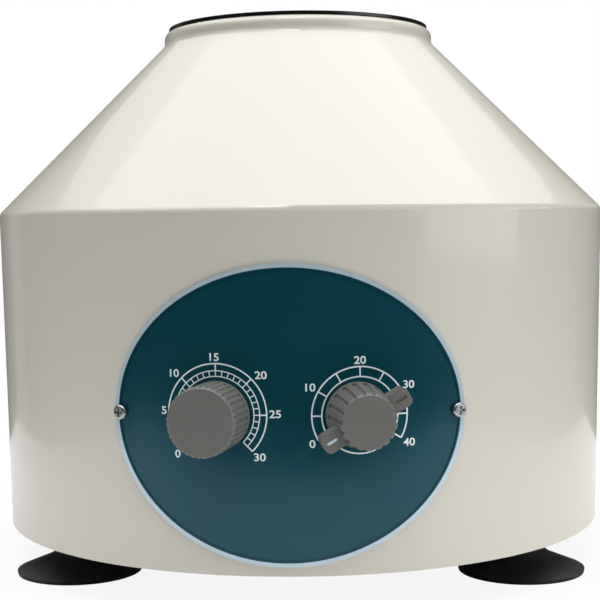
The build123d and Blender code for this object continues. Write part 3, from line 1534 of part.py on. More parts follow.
# Fuse drawer with its finger lip
with BuildPart() as fuse_drawer:
    with BuildSketch(inlet_front):
        with Locations((drawer_offset, 0)):
            Rectangle(drawer_width, drawer_height)
    extrude(amount=-drawer_depth)
    with BuildSketch(inlet_front):
        with Locations((drawer_offset, 0)):
            Rectangle(drawer_width, drawer_height)
    extrude(amount=seat_gap)
    with BuildSketch(inlet_front.offset(seat_gap)):
        with Locations((drawer_offset, 0)):
            RectangleRounded(drawer_width + 2 * drawer_lap, drawer_height + 2 * drawer_lap, drawer_corner)
    extrude(amount=drawer_lip)
    with BuildSketch(inlet_front.offset(seat_gap + drawer_lip)):
        with Locations((drawer_offset, (drawer_height - drawer_ledge) / 2)):
            Rectangle(drawer_width - 2 * drawer_ledge_inset, drawer_ledge)
    extrude(amount=drawer_ledge_rise)
    with BuildSketch(inlet_front.offset(-fuse_wall)):
        with Locations((drawer_offset + fuse_offset, 0)):
            Rectangle(drawer_width, 2 * fuse_radius)
    extrude(amount=-drawer_depth, mode=Mode.SUBTRACT)
fuse_drawer.part.label = "fuse_drawer"
export_step(fuse_drawer.part, "parts/fuse_drawer.step")

# Power switch: bezel and body with a pocket for the rocker, and bores for its trunnions
pocket_width = rocker_width + 2 * seat_gap
pocket_height = 2 * (rocker_radius + seat_gap)
rocker_axis = switch_plane.offset(-rocker_axis_depth)
rocker_side = Plane(origin=rocker_axis.origin, x_dir=rocker_axis.y_dir, z_dir=rocker_axis.x_dir)
with BuildPart() as power_switch:
    with BuildSketch(switch_plane.offset(running_gap)):
        RectangleRounded(switch_width, switch_height, switch_corner)
    extrude(amount=switch_bezel)
    with BuildSketch(switch_plane.offset(running_gap)):
        Rectangle(switch_body_width, switch_body_height)
    extrude(amount=-switch_depth)
    with BuildSketch(switch_plane.offset(switch_bezel + running_gap)):
        Rectangle(pocket_width, pocket_height)
    extrude(amount=-(switch_bezel + rocker_axis_depth + rocker_radius), mode=Mode.SUBTRACT)
    with BuildSketch(rocker_side):
        Circle(trunnion_radius + running_gap)
    extrude(amount=switch_body_width, both=True, mode=Mode.SUBTRACT)
    with BuildSketch(switch_plane.offset(switch_tag_sunk - switch_depth)):
        with GridLocations(0, switch_tag_spacing, 1, 2):
            Rectangle(tag_width, tag_sheet)
    extrude(amount=-switch_tag_sunk - tag_length)
power_switch.part.label = "power_switch"
export_step(power_switch.part, "parts/power_switch.step")

# Rocker: part of a disc with a shallow V on top, tilted to off, on two trunnions
tilt = radians(rocker_tilt)
tilted_up = rocker_side.x_dir * cos(tilt) + rocker_side.y_dir * sin(tilt)
rocker_tilted = Plane(origin=rocker_side.origin, x_dir=tilted_up, z_dir=rocker_side.z_dir)
rocker_end = rocker_radius + seat_gap
rocker_rise = rocker_end * tan(radians(rocker_tilt))
with BuildPart() as power_rocker:
    with BuildSketch(rocker_tilted):
        with BuildLine():
            Polyline(
                (-rocker_end, -rocker_under),
                (rocker_end, -rocker_under),
                (rocker_end, rocker_valley + rocker_rise),
                (0, rocker_valley),
                (-rocker_end, rocker_valley + rocker_rise),
                close=True,
            )
        make_face()
        Circle(rocker_radius, mode=Mode.INTERSECT)
    extrude(amount=rocker_width / 2, both=True)
    with BuildSketch(rocker_side):
        Circle(trunnion_radius)
    extrude(amount=switch_body_width / 2, both=True)
power_rocker.part.label = "power_rocker"
export_step(power_rocker.part, "parts/power_rocker.step")

# Speed board on the base plate
board_plane = level(board_azimuth, board_circle_radius, base_top_z + running_gap + board_lift)
board_hole_width = board_width - 2 * board_hole_inset
board_hole_length = board_length - 2 * board_hole_inset
with BuildPart() as speed_board:
    with BuildSketch(board_plane):
        RectangleRounded(board_width, board_length, board_corner)
        with GridLocations(board_hole_width, board_hole_length, 2, 2):
            Circle(board_hole_radius, mode=Mode.SUBTRACT)
    extrude(amount=board_sheet)
speed_board.part.label = "speed_board"
export_step(speed_board.part, "parts/speed_board.step")

# Parts on the board: feet, terminal block, capacitor, choke, power device with its heat sink
board_top = board_plane.offset(board_sheet + running_gap)
with BuildPart() as board_parts:
    with BuildSketch(board_plane.offset(-board_lift)):
        with GridLocations(board_hole_width, board_hole_length, 2, 2):
            Circle(board_foot_radius)
    extrude(amount=board_lift - running_gap)
    with BuildSketch(board_plane.offset(-board_lift)):
        with GridLocations(board_hole_width, board_hole_length, 2, 2):
            Circle(board_pin_radius)
    extrude(amount=board_lift + board_sheet + board_pin_reach)
    for place, size in ((terminal_place, terminal_size), (capacitor_place, capacitor_size)):
        with BuildSketch(board_top):
            with Locations(place):
                Rectangle(size[0], size[1])
        extrude(amount=size[2])
    with BuildSketch(board_top):
        with Locations(choke_place):
            Circle(choke_radius)
            Circle(choke_bore, mode=Mode.SUBTRACT)
    extrude(amount=choke_height)
    with BuildSketch(board_top):
        with Locations(sink_place):
            Rectangle(sink_length, sink_sheet)
        with Locations((sink_place[0], sink_place[1] - sink_fin_depth / 2)):
            with GridLocations(sink_fin_spacing, 0, sink_fins, 1):
                Rectangle(sink_fin, sink_fin_depth)
    extrude(amount=sink_height)
board_parts.part.label = "board_parts"
export_step(board_parts.part, "parts/board_parts.step")
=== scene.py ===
# %% [markdown]
# # A small bench centrifuge
# A sheet housing stands on three suction feet. Under its round lid a rotor carries eight test tubes,
# and an oval plate on the front has a timer knob and a speed knob.
# The solids come ready made, each in its own place, so this lesson is about their finishes, the printed
# dials, the light and the camera. The first cell loads the solids.

import json
from math import cos, degrees, pi, radians, sin

import bpy
from mathutils import Matrix, Vector


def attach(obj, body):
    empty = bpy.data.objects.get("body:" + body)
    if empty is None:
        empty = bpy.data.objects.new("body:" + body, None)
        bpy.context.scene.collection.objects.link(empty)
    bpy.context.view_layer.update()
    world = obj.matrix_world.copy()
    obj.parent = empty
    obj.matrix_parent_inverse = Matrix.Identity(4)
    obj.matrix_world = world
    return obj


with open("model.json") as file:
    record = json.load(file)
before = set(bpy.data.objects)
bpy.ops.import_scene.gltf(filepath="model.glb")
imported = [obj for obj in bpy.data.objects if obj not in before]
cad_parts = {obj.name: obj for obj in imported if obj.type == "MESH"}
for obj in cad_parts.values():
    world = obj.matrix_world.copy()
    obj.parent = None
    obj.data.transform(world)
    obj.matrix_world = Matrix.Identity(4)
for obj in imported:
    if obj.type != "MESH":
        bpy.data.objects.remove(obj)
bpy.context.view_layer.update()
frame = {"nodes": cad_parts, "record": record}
nodes = frame["nodes"]

# %% [markdown]
# The dials and the camera need some sizes of the real object. They are written in millimetres, and MM
# turns them into Blender's metres. The drum widens a little from its lower edge to its shoulder, so its
# radius is a function of height. A place on the curved plate is measured along it, as with a tape, and
# dividing that arc by the radius gives the angle round the drum.

# %% Sizes of the drum and the plate
MM = 0.001
foot_clearance = 17.0 * MM
drum_foot_radius = 132.4 * MM
shoulder_radius = 135.0 * MM
drum_height = 135.8 * MM
drum_taper = (shoulder_radius - drum_foot_radius) / drum_height
plate_gap = 0.3 * MM
plate_sheet = 0.8 * MM
plate_face = plate_gap + plate_sheet
plate_half_arc = 69.0 * MM
plate_half_height = 56.0 * MM
plate_height = foot_clearance + 59.8 * MM
bare_highlit_rim = 1.5 * MM
knob_arc = 26.0 * MM
control_height = foot_clearance + 60.0 * MM


def drum_radius(height):
    """Outer radius of the drum at a height above the bench."""
    return drum_foot_radius + drum_taper * (height - foot_clearance)


plate_half_width = drum_radius(plate_height) * sin(plate_half_arc / drum_radius(plate_height))
knob_azimuth = knob_arc / drum_radius(control_height)
print("plate", round(2 * plate_half_width / MM, 1), "mm wide")
print("knobs at", round(degrees(knob_azimuth), 1), "degrees each side of the middle")

# %% [markdown]
# A screen and a shader count colours differently: the screen's steps are closer together in the dark.
# One helper turns the first into the second, so that every colour in this lesson can be written in the
# 0 to 255 that a paint program shows.

# %% Helper: a colour as a screen shows it
def display(red, green, blue):
    """Linear values of a screen colour from 0 to 255, by the standard sRGB curve."""
    steps = [c / 255 for c in (red, green, blue)]
    return tuple(c / 12.92 if c < 0.04045 else ((c + 0.055) / 1.055) ** 2.4 for c in steps)


print("middle grey is", round(display(128, 128, 128)[0], 3), "in linear light")

# %% [markdown]
# Every node tree is written with a few small helpers. The first adds a node, sets its options and fills
# its sockets with a value or a link. A socket is named where it has a name of its own. The three colour
# sockets of a Mix node share their names with others, so they are told by their number.

# %% Helpers for node trees
mix_first, mix_second, mix_result = 6, 7, 2


def put(tree, kind, links=(), **options):
    """Adds a node; each link is a socket's name or number and a value or another node's output."""
    node = tree.nodes.new(kind)
    for option, value in options.items():
        setattr(node, option, value)
    for socket, value in links:
        if isinstance(value, bpy.types.NodeSocket):
            tree.links.new(value, node.inputs[socket])
        else:
            node.inputs[socket].default_value = value
    return node


def calc(tree, operation, first, second=0.0, third=0.0):
    """One step of arithmetic in a node tree."""
    node = put(tree, "ShaderNodeMath", [(0, first), (1, second), (2, third)], operation=operation)
    return node.outputs[0]


def square(tree, value):
    """A value times itself."""
    return calc(tree, "MULTIPLY", value, value)


def xyz(tree, vector):
    """The three parts of a vector, by their names X, Y and Z."""
    return put(tree, "ShaderNodeSeparateXYZ", [(0, vector)]).outputs


def own_place(tree):
    """Where a point lies in its object's own coordinates."""
    return put(tree, "ShaderNodeTexCoord").outputs["Object"]


def noise(tree, lump_size, detail, roughness=0.5):
    """Soft noise over the object, with lumps of about the given size in metres."""
    return put(tree, "ShaderNodeTexNoise", [
        ("Vector", own_place(tree)), ("Scale", calc(tree, "DIVIDE", 1.0, lump_size)),
        ("Detail", detail), ("Roughness", roughness)]).outputs[0]


# %% [markdown]
# An effect that several materials share could be copied from one to the next, but then a change has to
# be made in each of them. So it is made once, as a node group, and each material places it with its own
# numbers. This helper opens such a group and names its sockets.

# %% Helper: open a node group
def open_group(name, kind, inputs, outputs):
    """Starts a node group whose sockets are (name, type, value); returns it with its two end nodes."""
    tree = bpy.data.node_groups.new(name, kind)
    for label, socket_kind, value in inputs:
        socket = tree.interface.new_socket(label, in_out="INPUT", socket_type="NodeSocket" + socket_kind)
        if value is not None:
            socket.default_value = value
    for label, socket_kind in outputs:
        tree.interface.new_socket(label, in_out="OUTPUT", socket_type="NodeSocket" + socket_kind)
    return tree, tree.nodes.new("NodeGroupInput"), tree.nodes.new("NodeGroupOutput")


# %% [markdown]
# No surface is one flat colour. Paint drifts a little in tone, and plastic and rubber have a fine
# grain. Image textures could show that, but they need unwrapping and have one size only. Noise read
# from the object's own coordinates has no seams and is sharp at any distance, so the first group mixes
# a slow drift of tone with a fine grain, and the grain also makes the gloss uneven.

# %% Group: drift of tone and fine grain
grain, grain_in, grain_out = open_group(
    "Tone and grain", "ShaderNodeTree",
    [("Color", "Color", (0.8, 0.8, 0.8, 1.0)), ("Drift", "Float", 0.06), ("Drift size", "Float", 0.05),
     ("Grain size", "Float", 0.0006), ("Smooth", "Float", 0.3), ("Rough", "Float", 0.4)],
    [("Color", "Color"), ("Roughness", "Float"), ("Height", "Float")],
)
slow = noise(grain, grain_in.outputs["Drift size"], detail=3.0)
fine = noise(grain, grain_in.outputs["Grain size"], detail=2.0)
shift = calc(grain, "MULTIPLY", calc(grain, "SUBTRACT", slow, 0.5), grain_in.outputs["Drift"])
toned = put(grain, "ShaderNodeHueSaturation", [
    ("Color", grain_in.outputs["Color"]), ("Value", calc(grain, "ADD", shift, 1.0))]).outputs[0]
mixed = calc(grain, "MULTIPLY_ADD", fine, 0.5, calc(grain, "MULTIPLY", slow, 0.5))
spread = put(grain, "ShaderNodeMapRange", [
    ("Value", mixed), ("From Min", 0.35), ("From Max", 0.65),
    ("To Min", grain_in.outputs["Smooth"]), ("To Max", grain_in.outputs["Rough"])]).outputs[0]
grain.links.new(toned, grain_out.inputs["Color"])
grain.links.new(spread, grain_out.inputs["Roughness"])
grain.links.new(fine, grain_out.inputs["Height"])
print(grain.name, "has", len(grain.nodes), "nodes")

# %% [markdown]
# Dust settles on what faces up. It could be painted by hand on each piece, but a rule finds all those
# faces: the second group reads how far a surface faces up and breaks that up with noise, and mixes the
# material's colour towards a pale grey by it. It is faint on the lid, the knobs and the castings, and
# plainer on the rubber feet. The enamel gets none, because a wiped housing shows none.

# %% Group: settled dust
dust, dust_in, dust_out = open_group(
    "Settled dust", "ShaderNodeTree",
    [("Color", "Color", (0.1, 0.1, 0.1, 1.0)), ("Dust", "Color", (0.45, 0.43, 0.4, 1.0)),
     ("Amount", "Float", 0.2), ("Patch size", "Float", 0.012)],
    [("Color", "Color")],
)
upward = xyz(dust, put(dust, "ShaderNodeNewGeometry").outputs["Normal"])["Z"]
patches = noise(dust, dust_in.outputs["Patch size"], detail=5.0, roughness=0.65)
facing_up = put(dust, "ShaderNodeMapRange", [
    ("Value", upward), ("From Min", 0.1), ("From Max", 1.0)]).outputs[0]
settled = calc(dust, "MULTIPLY", calc(dust, "MULTIPLY", facing_up, patches), dust_in.outputs["Amount"])
dusted = put(dust, "ShaderNodeMix", [
    ("Factor", settled), (mix_first, dust_in.outputs["Color"]), (mix_second, dust_in.outputs["Dust"]),
], data_type="RGBA").outputs[mix_result]
dust.links.new(dusted, dust_out.inputs["Color"])
print(dust.name, "has", len(dust.nodes), "nodes")

# %% [markdown]
# The bowl and the shaft turned while they were made, and the tool left rings round their axis, finer
# than a model could hold as shapes. So the third group measures the distance from that axis, adds the
# height, so that upright walls get rings too, and reads noise along that one number: all round the
# axis a point gets the same value, which is a ring.

# %% Group: rings left by turning
rings, rings_in, rings_out = open_group(
    "Turned rings", "ShaderNodeTree",
    [("Pitch", "Float", 0.0008), ("Smooth", "Float", 0.2), ("Rough", "Float", 0.36)],
    [("Roughness", "Float"), ("Height", "Float")],
)
spot = xyz(rings, own_place(rings))
squares = calc(rings, "ADD", square(rings, spot["X"]), square(rings, spot["Y"]))
reach = calc(rings, "ADD", calc(rings, "SQRT", squares), spot["Z"])
line = put(rings, "ShaderNodeTexNoise", [
    ("W", calc(rings, "DIVIDE", reach, rings_in.outputs["Pitch"])), ("Scale", 1.0), ("Detail", 4.0),
], noise_dimensions="1D").outputs[0]
ring_rough = put(rings, "ShaderNodeMapRange", [
    ("Value", line), ("From Min", 0.3), ("From Max", 0.7),
    ("To Min", rings_in.outputs["Smooth"]), ("To Max", rings_in.outputs["Rough"])]).outputs[0]
rings.links.new(ring_rough, rings_out.inputs["Roughness"])
rings.links.new(line, rings_out.inputs["Height"])
print(rings.name, "has", len(rings.nodes), "nodes")

# %% [markdown]
# A finish is one Principled shader fed by the groups. Numbers that are the same all over, such as how
# metallic it is or how thick its clear coat is, are set on the shader's own sockets. Relief is given as
# the real height of the grain in metres, so it is plain to see that it stays in the thousandths of a
# millimetre.

# %% Helper: one finish
def finish(name, color, grain_values, dust_amount=0.0, bump=0.0, ring_pitch=0.0, **fixed):
    """A material from the tone and grain group, with dust or turned rings where they are wanted."""
    material = bpy.data.materials.new(name)
    material.use_nodes = True
    tree = material.node_tree
    shader = tree.nodes["Principled BSDF"]
    for label, value in fixed.items():
        shader.inputs[label.replace("_", " ")].default_value = value
    body = put(tree, "ShaderNodeGroup", [("Color", (*color, 1.0)), *grain_values.items()], node_tree=grain)
    outcome = body.outputs["Color"]
    roughness, height = body.outputs["Roughness"], body.outputs["Height"]
    if dust_amount:
        layer = put(tree, "ShaderNodeGroup", node_tree=dust)
        layer.inputs["Amount"].default_value = dust_amount
        tree.links.new(outcome, layer.inputs["Color"])
        outcome = layer.outputs["Color"]
    if ring_pitch:
        turned = put(tree, "ShaderNodeGroup", node_tree=rings)
        turned.inputs["Pitch"].default_value = ring_pitch
        for label in ("Smooth", "Rough"):
            turned.inputs[label].default_value = body.inputs[label].default_value
        roughness, height = turned.outputs["Roughness"], turned.outputs["Height"]
    if bump:
        relief = put(tree, "ShaderNodeBump", [("Height", height), ("Strength", 1.0), ("Distance", bump)])
        tree.links.new(relief.outputs[0], shader.inputs["Normal"])
    tree.links.new(roughness, shader.inputs["Roughness"])
    tree.links.new(outcome, shader.inputs["Base Color"])
    return material


# %% [markdown]
# The housing is stove enamelled: a glossy cream paint under which the sheet's slow waves just show.
# A rougher paint with a clear coat over it gives both a soft sheen and the sharp reflections. The waves
# of the relief are wide and low, so that reflections bend a little and the paint stays clean.

# %% Finish: cream enamel
cream_enamel = finish(
    "Cream enamel", display(222, 218, 206),
    {"Drift": 0.025, "Drift size": 0.12, "Grain size": 0.02, "Smooth": 0.3, "Rough": 0.36},
    bump=0.000008, Coat_Weight=0.5, Coat_Roughness=0.08,
)
print(cream_enamel.name, "is made of", len(cream_enamel.node_tree.nodes), "nodes")

# %% [markdown]
# The control plate is one thin aluminium sheet, printed in a dark teal that stops short of its edge,
# so a rim of bare metal is left. That rim is painted a pale bluish white, brighter than bare aluminium:
# it is partly a painted highlight, standing for the light that the rim's bevelled edge catches. The ink
# is glossy and tints what it reflects, so the shader's reflections get a teal tint too. The boundary of
# the print is an ellipse, and an ellipse is easy to write as arithmetic on the object's coordinates,
# which keeps it sharp where a picture would blur.

# %% Finish: printed control plate
printed_plate = finish(
    "Printed plate", display(6, 66, 78),
    {"Drift": 0.2, "Drift size": 0.03, "Grain size": 0.004, "Smooth": 0.14, "Rough": 0.2},
    bump=0.000002, Specular_IOR_Level=0.64, Specular_Tint=(0.5, 0.8, 1.0, 1.0),
)
# The rim's colour is bare metal with a painted highlight on it: its pale bluish white stands for the light on
# the bevel.
bare_metal_highlight, rim_metallic = display(200, 219, 231), 0.2
tree = printed_plate.node_tree
shader = tree.nodes["Principled BSDF"]
spot = xyz(tree, own_place(tree))
across = calc(tree, "DIVIDE", spot["X"], plate_half_width - bare_highlit_rim)
upright = calc(tree, "DIVIDE", calc(tree, "SUBTRACT", spot["Z"], plate_height), plate_half_height - bare_highlit_rim)
oval = calc(tree, "ADD", square(tree, across), square(tree, upright))
on_rim = calc(tree, "GREATER_THAN", oval, 1.0)
teal = shader.inputs["Base Color"].links[0].from_socket
rim_mix = put(tree, "ShaderNodeMix", [
    ("Factor", on_rim), (mix_first, teal), (mix_second, (*bare_metal_highlight, 1.0)),
], data_type="RGBA").outputs[mix_result]
tree.links.new(rim_mix, shader.inputs["Base Color"])
tree.links.new(calc(tree, "MULTIPLY", on_rim, rim_metallic), shader.inputs["Metallic"])
print("print reaches to", round(bare_highlit_rim / MM, 1), "mm from the edge")

# %% [markdown]
# Screws, sheet parts and the motor's iron are steel. All of them are fully metallic, and what tells
# them apart is how bright they are, how rough, and how large their grain is: plating is bright and
# mottled, plain sheet is duller, ground steel is smooth, and a stack of laminations is dark and rough.

# %% Finishes: steel and iron
bright_steel = finish(
    "Zinc plated steel", display(178, 180, 183),
    {"Drift": 0.12, "Drift size": 0.006, "Grain size": 0.0004, "Smooth": 0.24, "Rough": 0.4},
    bump=0.000008, Metallic=1.0,
)
sheet_steel = finish(
    "Plain sheet steel", display(150, 152, 154),
    {"Drift": 0.15, "Drift size": 0.03, "Grain size": 0.0007, "Smooth": 0.32, "Rough": 0.5},
    bump=0.00001, Metallic=1.0,
)
ground_steel = finish(
    "Ground steel", display(196, 197, 198), {"Drift": 0.06, "Smooth": 0.14, "Rough": 0.26},
    bump=0.000004, ring_pitch=0.0004, Metallic=1.0,
)
laminated_iron = finish(
    "Laminated iron", display(96, 94, 92),
    {"Drift": 0.2, "Drift size": 0.008, "Grain size": 0.0005, "Smooth": 0.4, "Rough": 0.6},
    bump=0.00003, Metallic=1.0,
)
for made in (bright_steel, sheet_steel, ground_steel, laminated_iron):
    print("made", made.name)

# %% [markdown]
# The bowl, the rotor head and the tube sleeves are aluminium, made in three ways. The bowl is spun and
# keeps its rings. The rotor head is cast, so its grain is coarse and holds dust. The sleeves are
# anodised, which leaves them pale, even and satin.

# %% Finishes: aluminium
spun_aluminium = finish(
    "Spun aluminium", display(196, 198, 200),
    {"Drift": 0.08, "Drift size": 0.04, "Smooth": 0.22, "Rough": 0.38},
    bump=0.00001, ring_pitch=0.0009, Metallic=1.0,
)
cast_aluminium = finish(
    "Cast aluminium", display(172, 175, 178),
    {"Drift": 0.12, "Drift size": 0.02, "Grain size": 0.0012, "Smooth": 0.34, "Rough": 0.52},
    dust_amount=0.08, bump=0.00004, Metallic=1.0,
)
anodised = finish(
    "Anodised aluminium", display(205, 208, 210),
    {"Drift": 0.05, "Drift size": 0.02, "Grain size": 0.0005, "Smooth": 0.28, "Rough": 0.36},
    bump=0.000006, Metallic=1.0,
)
for made in (spun_aluminium, cast_aluminium, anodised):
    print("made", made.name)

# %% [markdown]
# The motor and the board have the rest of the metals, and a few finishes that aren't metal. Windings
# are lacquered copper, with a strong drift over a few millimetres that reads as strands. Pins and
# bushings are brass, the brushes are pressed carbon, and the motor's can has a plain dark enamel.

# %% Finishes: the motor and the board
copper_wire = finish(
    "Enamelled copper", display(176, 96, 52),
    {"Drift": 0.3, "Drift size": 0.004, "Grain size": 0.0006, "Smooth": 0.22, "Rough": 0.4},
    bump=0.00005, Metallic=1.0,
)
drawn_brass = finish(
    "Drawn brass", display(196, 164, 92),
    {"Drift": 0.1, "Drift size": 0.01, "Grain size": 0.0004, "Smooth": 0.22, "Rough": 0.34},
    bump=0.000006, Metallic=1.0,
)
carbon_block = finish(
    "Pressed carbon", display(38, 38, 40),
    {"Drift": 0.3, "Drift size": 0.003, "Grain size": 0.0003, "Smooth": 0.5, "Rough": 0.7},
    bump=0.00002,
)
motor_enamel = finish(
    "Motor enamel", display(70, 74, 80),
    {"Drift": 0.12, "Drift size": 0.02, "Grain size": 0.001, "Smooth": 0.32, "Rough": 0.46},
    bump=0.00002,
)
green_board = finish(
    "Circuit board", display(26, 84, 46),
    {"Drift": 0.35, "Drift size": 0.004, "Grain size": 0.0008, "Smooth": 0.26, "Rough": 0.4},
    bump=0.000012,
)
for made in (copper_wire, drawn_brass, carbon_block, motor_enamel, green_board):
    print("made", made.name)

# %% [markdown]
# What the hands and the bench touch is rubber and plastic. Of these, rubber reflects least and is the
# roughest. The knobs are a matt grey moulding, the lid a glossier black one, and the mouldings at the
# back and inside lie between. Black is never written as zero, because even black plastic gives some
# light back.

# %% Finishes: rubber and plastics
black_rubber = finish(
    "Black rubber", display(24, 24, 24),
    {"Drift": 0.4, "Drift size": 0.01, "Grain size": 0.0009, "Smooth": 0.48, "Rough": 0.66},
    dust_amount=0.12, bump=0.00002, Specular_IOR_Level=0.35,
)
knob_plastic = finish(
    "Grey knob plastic", display(112, 113, 109),
    {"Drift": 0.08, "Drift size": 0.006, "Grain size": 0.0005, "Smooth": 0.4, "Rough": 0.5},
    dust_amount=0.05, bump=0.00001,
)
black_lid_plastic = finish(
    "Black lid plastic", display(16, 16, 17),
    {"Drift": 0.3, "Drift size": 0.02, "Grain size": 0.0007, "Smooth": 0.22, "Rough": 0.34},
    dust_amount=0.05, bump=0.000008,
)
black_moulding = finish(
    "Black moulding", display(30, 30, 32),
    {"Drift": 0.25, "Drift size": 0.008, "Grain size": 0.0005, "Smooth": 0.38, "Rough": 0.52},
    dust_amount=0.04, bump=0.000015,
)
grey_moulding = finish(
    "Grey moulding", display(128, 130, 134),
    {"Drift": 0.12, "Drift size": 0.01, "Grain size": 0.0005, "Smooth": 0.4, "Rough": 0.55},
    bump=0.000015,
)
fan_moulding = finish(
    "Fan moulding", display(58, 60, 64),
    {"Drift": 0.15, "Drift size": 0.01, "Grain size": 0.0005, "Smooth": 0.36, "Rough": 0.5},
    bump=0.000015,
)
for made in (black_rubber, knob_plastic, black_lid_plastic, black_moulding, grey_moulding, fan_moulding):
    print("made", made.name)

# %% [markdown]
# Each solid already names the slot that its finish belongs to, so one table from slot to finish dresses
# them all. A slot that the table lacks stops the script, so no solid can be missed.

# %% Dress every solid
finish_of_slot = {
    "cream_paint": cream_enamel, "panel": printed_plate, "bright_steel": bright_steel,
    "steel_sheet": sheet_steel, "black_rubber": black_rubber, "knob_grey": knob_plastic,
    "black_lid": black_lid_plastic, "bowl_metal": spun_aluminium, "rotor_metal": cast_aluminium,
    "sleeve_metal": anodised, "shaft_steel": ground_steel, "motor_paint": motor_enamel,
    "core_iron": laminated_iron, "copper": copper_wire, "carbon": carbon_block, "brass": drawn_brass,
    "black_plastic": black_moulding, "board_green": green_board, "board_grey": grey_moulding,
    "fan_plastic": fan_moulding,
}
for part in frame["record"]["subparts"]:
    for slot in nodes[part["node"]].material_slots:
        slot.material = finish_of_slot[part["material_slot"]]

# %% [markdown]
# The dials are printed on the curved plate. They could be drawn on a flat sheet and bent by hand, but
# a rule does it exactly: sideways distance becomes an angle round the drum, and height stays height.
# That rule is a small geometry group of its own, because the scales and the numbers both need it.

# %% Geometry group: wrap flat marks round the drum
wrap, wrap_in, wrap_out = open_group(
    "Wrap round the drum", "GeometryNodeTree",
    [("Geometry", "Geometry", None), ("Azimuth", "Float", None), ("Height", "Float", None),
     ("Foot radius", "Float", drum_foot_radius), ("Foot height", "Float", foot_clearance),
     ("Taper", "Float", drum_taper), ("Lift", "Float", plate_face)],
    [("Geometry", "Geometry")],
)
flat = xyz(wrap, put(wrap, "GeometryNodeInputPosition").outputs[0])
level = calc(wrap, "ADD", flat["Y"], wrap_in.outputs["Height"])
above_foot = calc(wrap, "SUBTRACT", level, wrap_in.outputs["Foot height"])
bare = calc(wrap, "MULTIPLY_ADD", above_foot, wrap_in.outputs["Taper"], wrap_in.outputs["Foot radius"])
radius = calc(wrap, "ADD", bare, wrap_in.outputs["Lift"])
angle = calc(wrap, "ADD", calc(wrap, "DIVIDE", flat["X"], radius), wrap_in.outputs["Azimuth"])
round_x = calc(wrap, "MULTIPLY", radius, calc(wrap, "SINE", angle))
round_y = calc(wrap, "MULTIPLY", calc(wrap, "MULTIPLY", radius, -1.0), calc(wrap, "COSINE", angle))
bent = put(wrap, "ShaderNodeCombineXYZ", [(0, round_x), (1, round_y), (2, level)]).outputs[0]
moved = put(wrap, "GeometryNodeSetPosition", [("Geometry", wrap_in.outputs["Geometry"]), ("Position", bent)])
wrap.links.new(moved.outputs[0], wrap_out.inputs[0])
print(wrap.name, "has", len(wrap.nodes), "nodes")

# %% [markdown]
# A dial scale is two arcs with marks between them at equal steps. It could be drawn line by line, but
# the timer needs thirty steps and the speed dial eight, so one tree takes the count as an input. This
# cell makes the arcs. An arc is a long thin grid whose length is read as an angle. The inner one has a
# sweep of its own, because on the speed dial it runs all the way round.

# %% Geometry tree: a dial scale and its arcs
dial, dial_in, dial_out = open_group(
    "Dial scale", "GeometryNodeTree",
    [("Geometry", "Geometry", None), ("Outer radius", "Float", None), ("Inner radius", "Float", None),
     ("Line", "Float", None), ("Start", "Float", None), ("Sweep", "Float", None), ("Steps", "Int", None),
     ("Inner arc", "Bool", None), ("Inner sweep", "Float", None), ("Azimuth", "Float", None),
     ("Height", "Float", None), ("Lift", "Float", None), ("Ink", "Material", None)],
    [("Geometry", "Geometry")],
)
arc_points = 145


def on_circle(distance, turn):
    """A point in the dial's plane at a distance and an angle from its middle."""
    return put(dial, "ShaderNodeCombineXYZ", [
        (0, calc(dial, "MULTIPLY", distance, calc(dial, "COSINE", turn))),
        (1, calc(dial, "MULTIPLY", distance, calc(dial, "SINE", turn)))]).outputs[0]


def arc_line(at_radius, sweep):
    """A thin arc: a grid whose x is read as an angle from the start, clockwise, and its y as a radius."""
    strip = put(dial, "GeometryNodeMeshGrid", [
        ("Size X", sweep), ("Size Y", dial_in.outputs["Line"]),
        ("Vertices X", arc_points), ("Vertices Y", 2)]).outputs[0]
    spot = xyz(dial, put(dial, "GeometryNodeInputPosition").outputs[0])
    middle_turn = calc(dial, "SUBTRACT", dial_in.outputs["Start"], calc(dial, "MULTIPLY", sweep, 0.5))
    place = on_circle(calc(dial, "ADD", spot["Y"], at_radius), calc(dial, "SUBTRACT", middle_turn, spot["X"]))
    return put(dial, "GeometryNodeSetPosition", [("Geometry", strip), ("Position", place)]).outputs[0]


outer_arc = arc_line(dial_in.outputs["Outer radius"], dial_in.outputs["Sweep"])
inner_arc = arc_line(dial_in.outputs["Inner radius"], dial_in.outputs["Inner sweep"])
chosen_arc = put(dial, "GeometryNodeSwitch", [
    ("Switch", dial_in.outputs["Inner arc"]), ("True", inner_arc)], input_type="GEOMETRY").outputs[0]
print("each arc has", arc_points - 1, "segments")

# %% [markdown]
# The marks are one short bar set out on points, each turned to its own angle. The bar lies along x, so
# the angle of its point round the dial is also the angle that it has to turn by. Instances are only
# references to that one bar, so they are made real before they are bent.

# %% Geometry tree: marks at equal steps
step = calc(dial, "DIVIDE", dial_in.outputs["Sweep"], dial_in.outputs["Steps"])
number = put(dial, "GeometryNodeInputIndex").outputs[0]
turn = calc(dial, "SUBTRACT", dial_in.outputs["Start"], calc(dial, "MULTIPLY", number, step))
both_radii = calc(dial, "ADD", dial_in.outputs["Outer radius"], dial_in.outputs["Inner radius"])
seat = on_circle(calc(dial, "MULTIPLY", both_radii, 0.5), turn)
mark_count = calc(dial, "ADD", dial_in.outputs["Steps"], 1.0)
marks = put(dial, "GeometryNodePoints", [("Count", mark_count), ("Position", seat)])
bar_length = calc(dial, "SUBTRACT", dial_in.outputs["Outer radius"], dial_in.outputs["Inner radius"])
bar = put(dial, "GeometryNodeMeshGrid", [
    ("Size X", bar_length), ("Size Y", dial_in.outputs["Line"]), ("Vertices X", 4), ("Vertices Y", 2)])
lean = put(dial, "FunctionNodeEulerToRotation", [
    (0, put(dial, "ShaderNodeCombineXYZ", [(2, turn)]).outputs[0])]).outputs[0]
set_out = put(dial, "GeometryNodeInstanceOnPoints", [
    ("Points", marks.outputs[0]), ("Instance", bar.outputs[0]), ("Rotation", lean)])
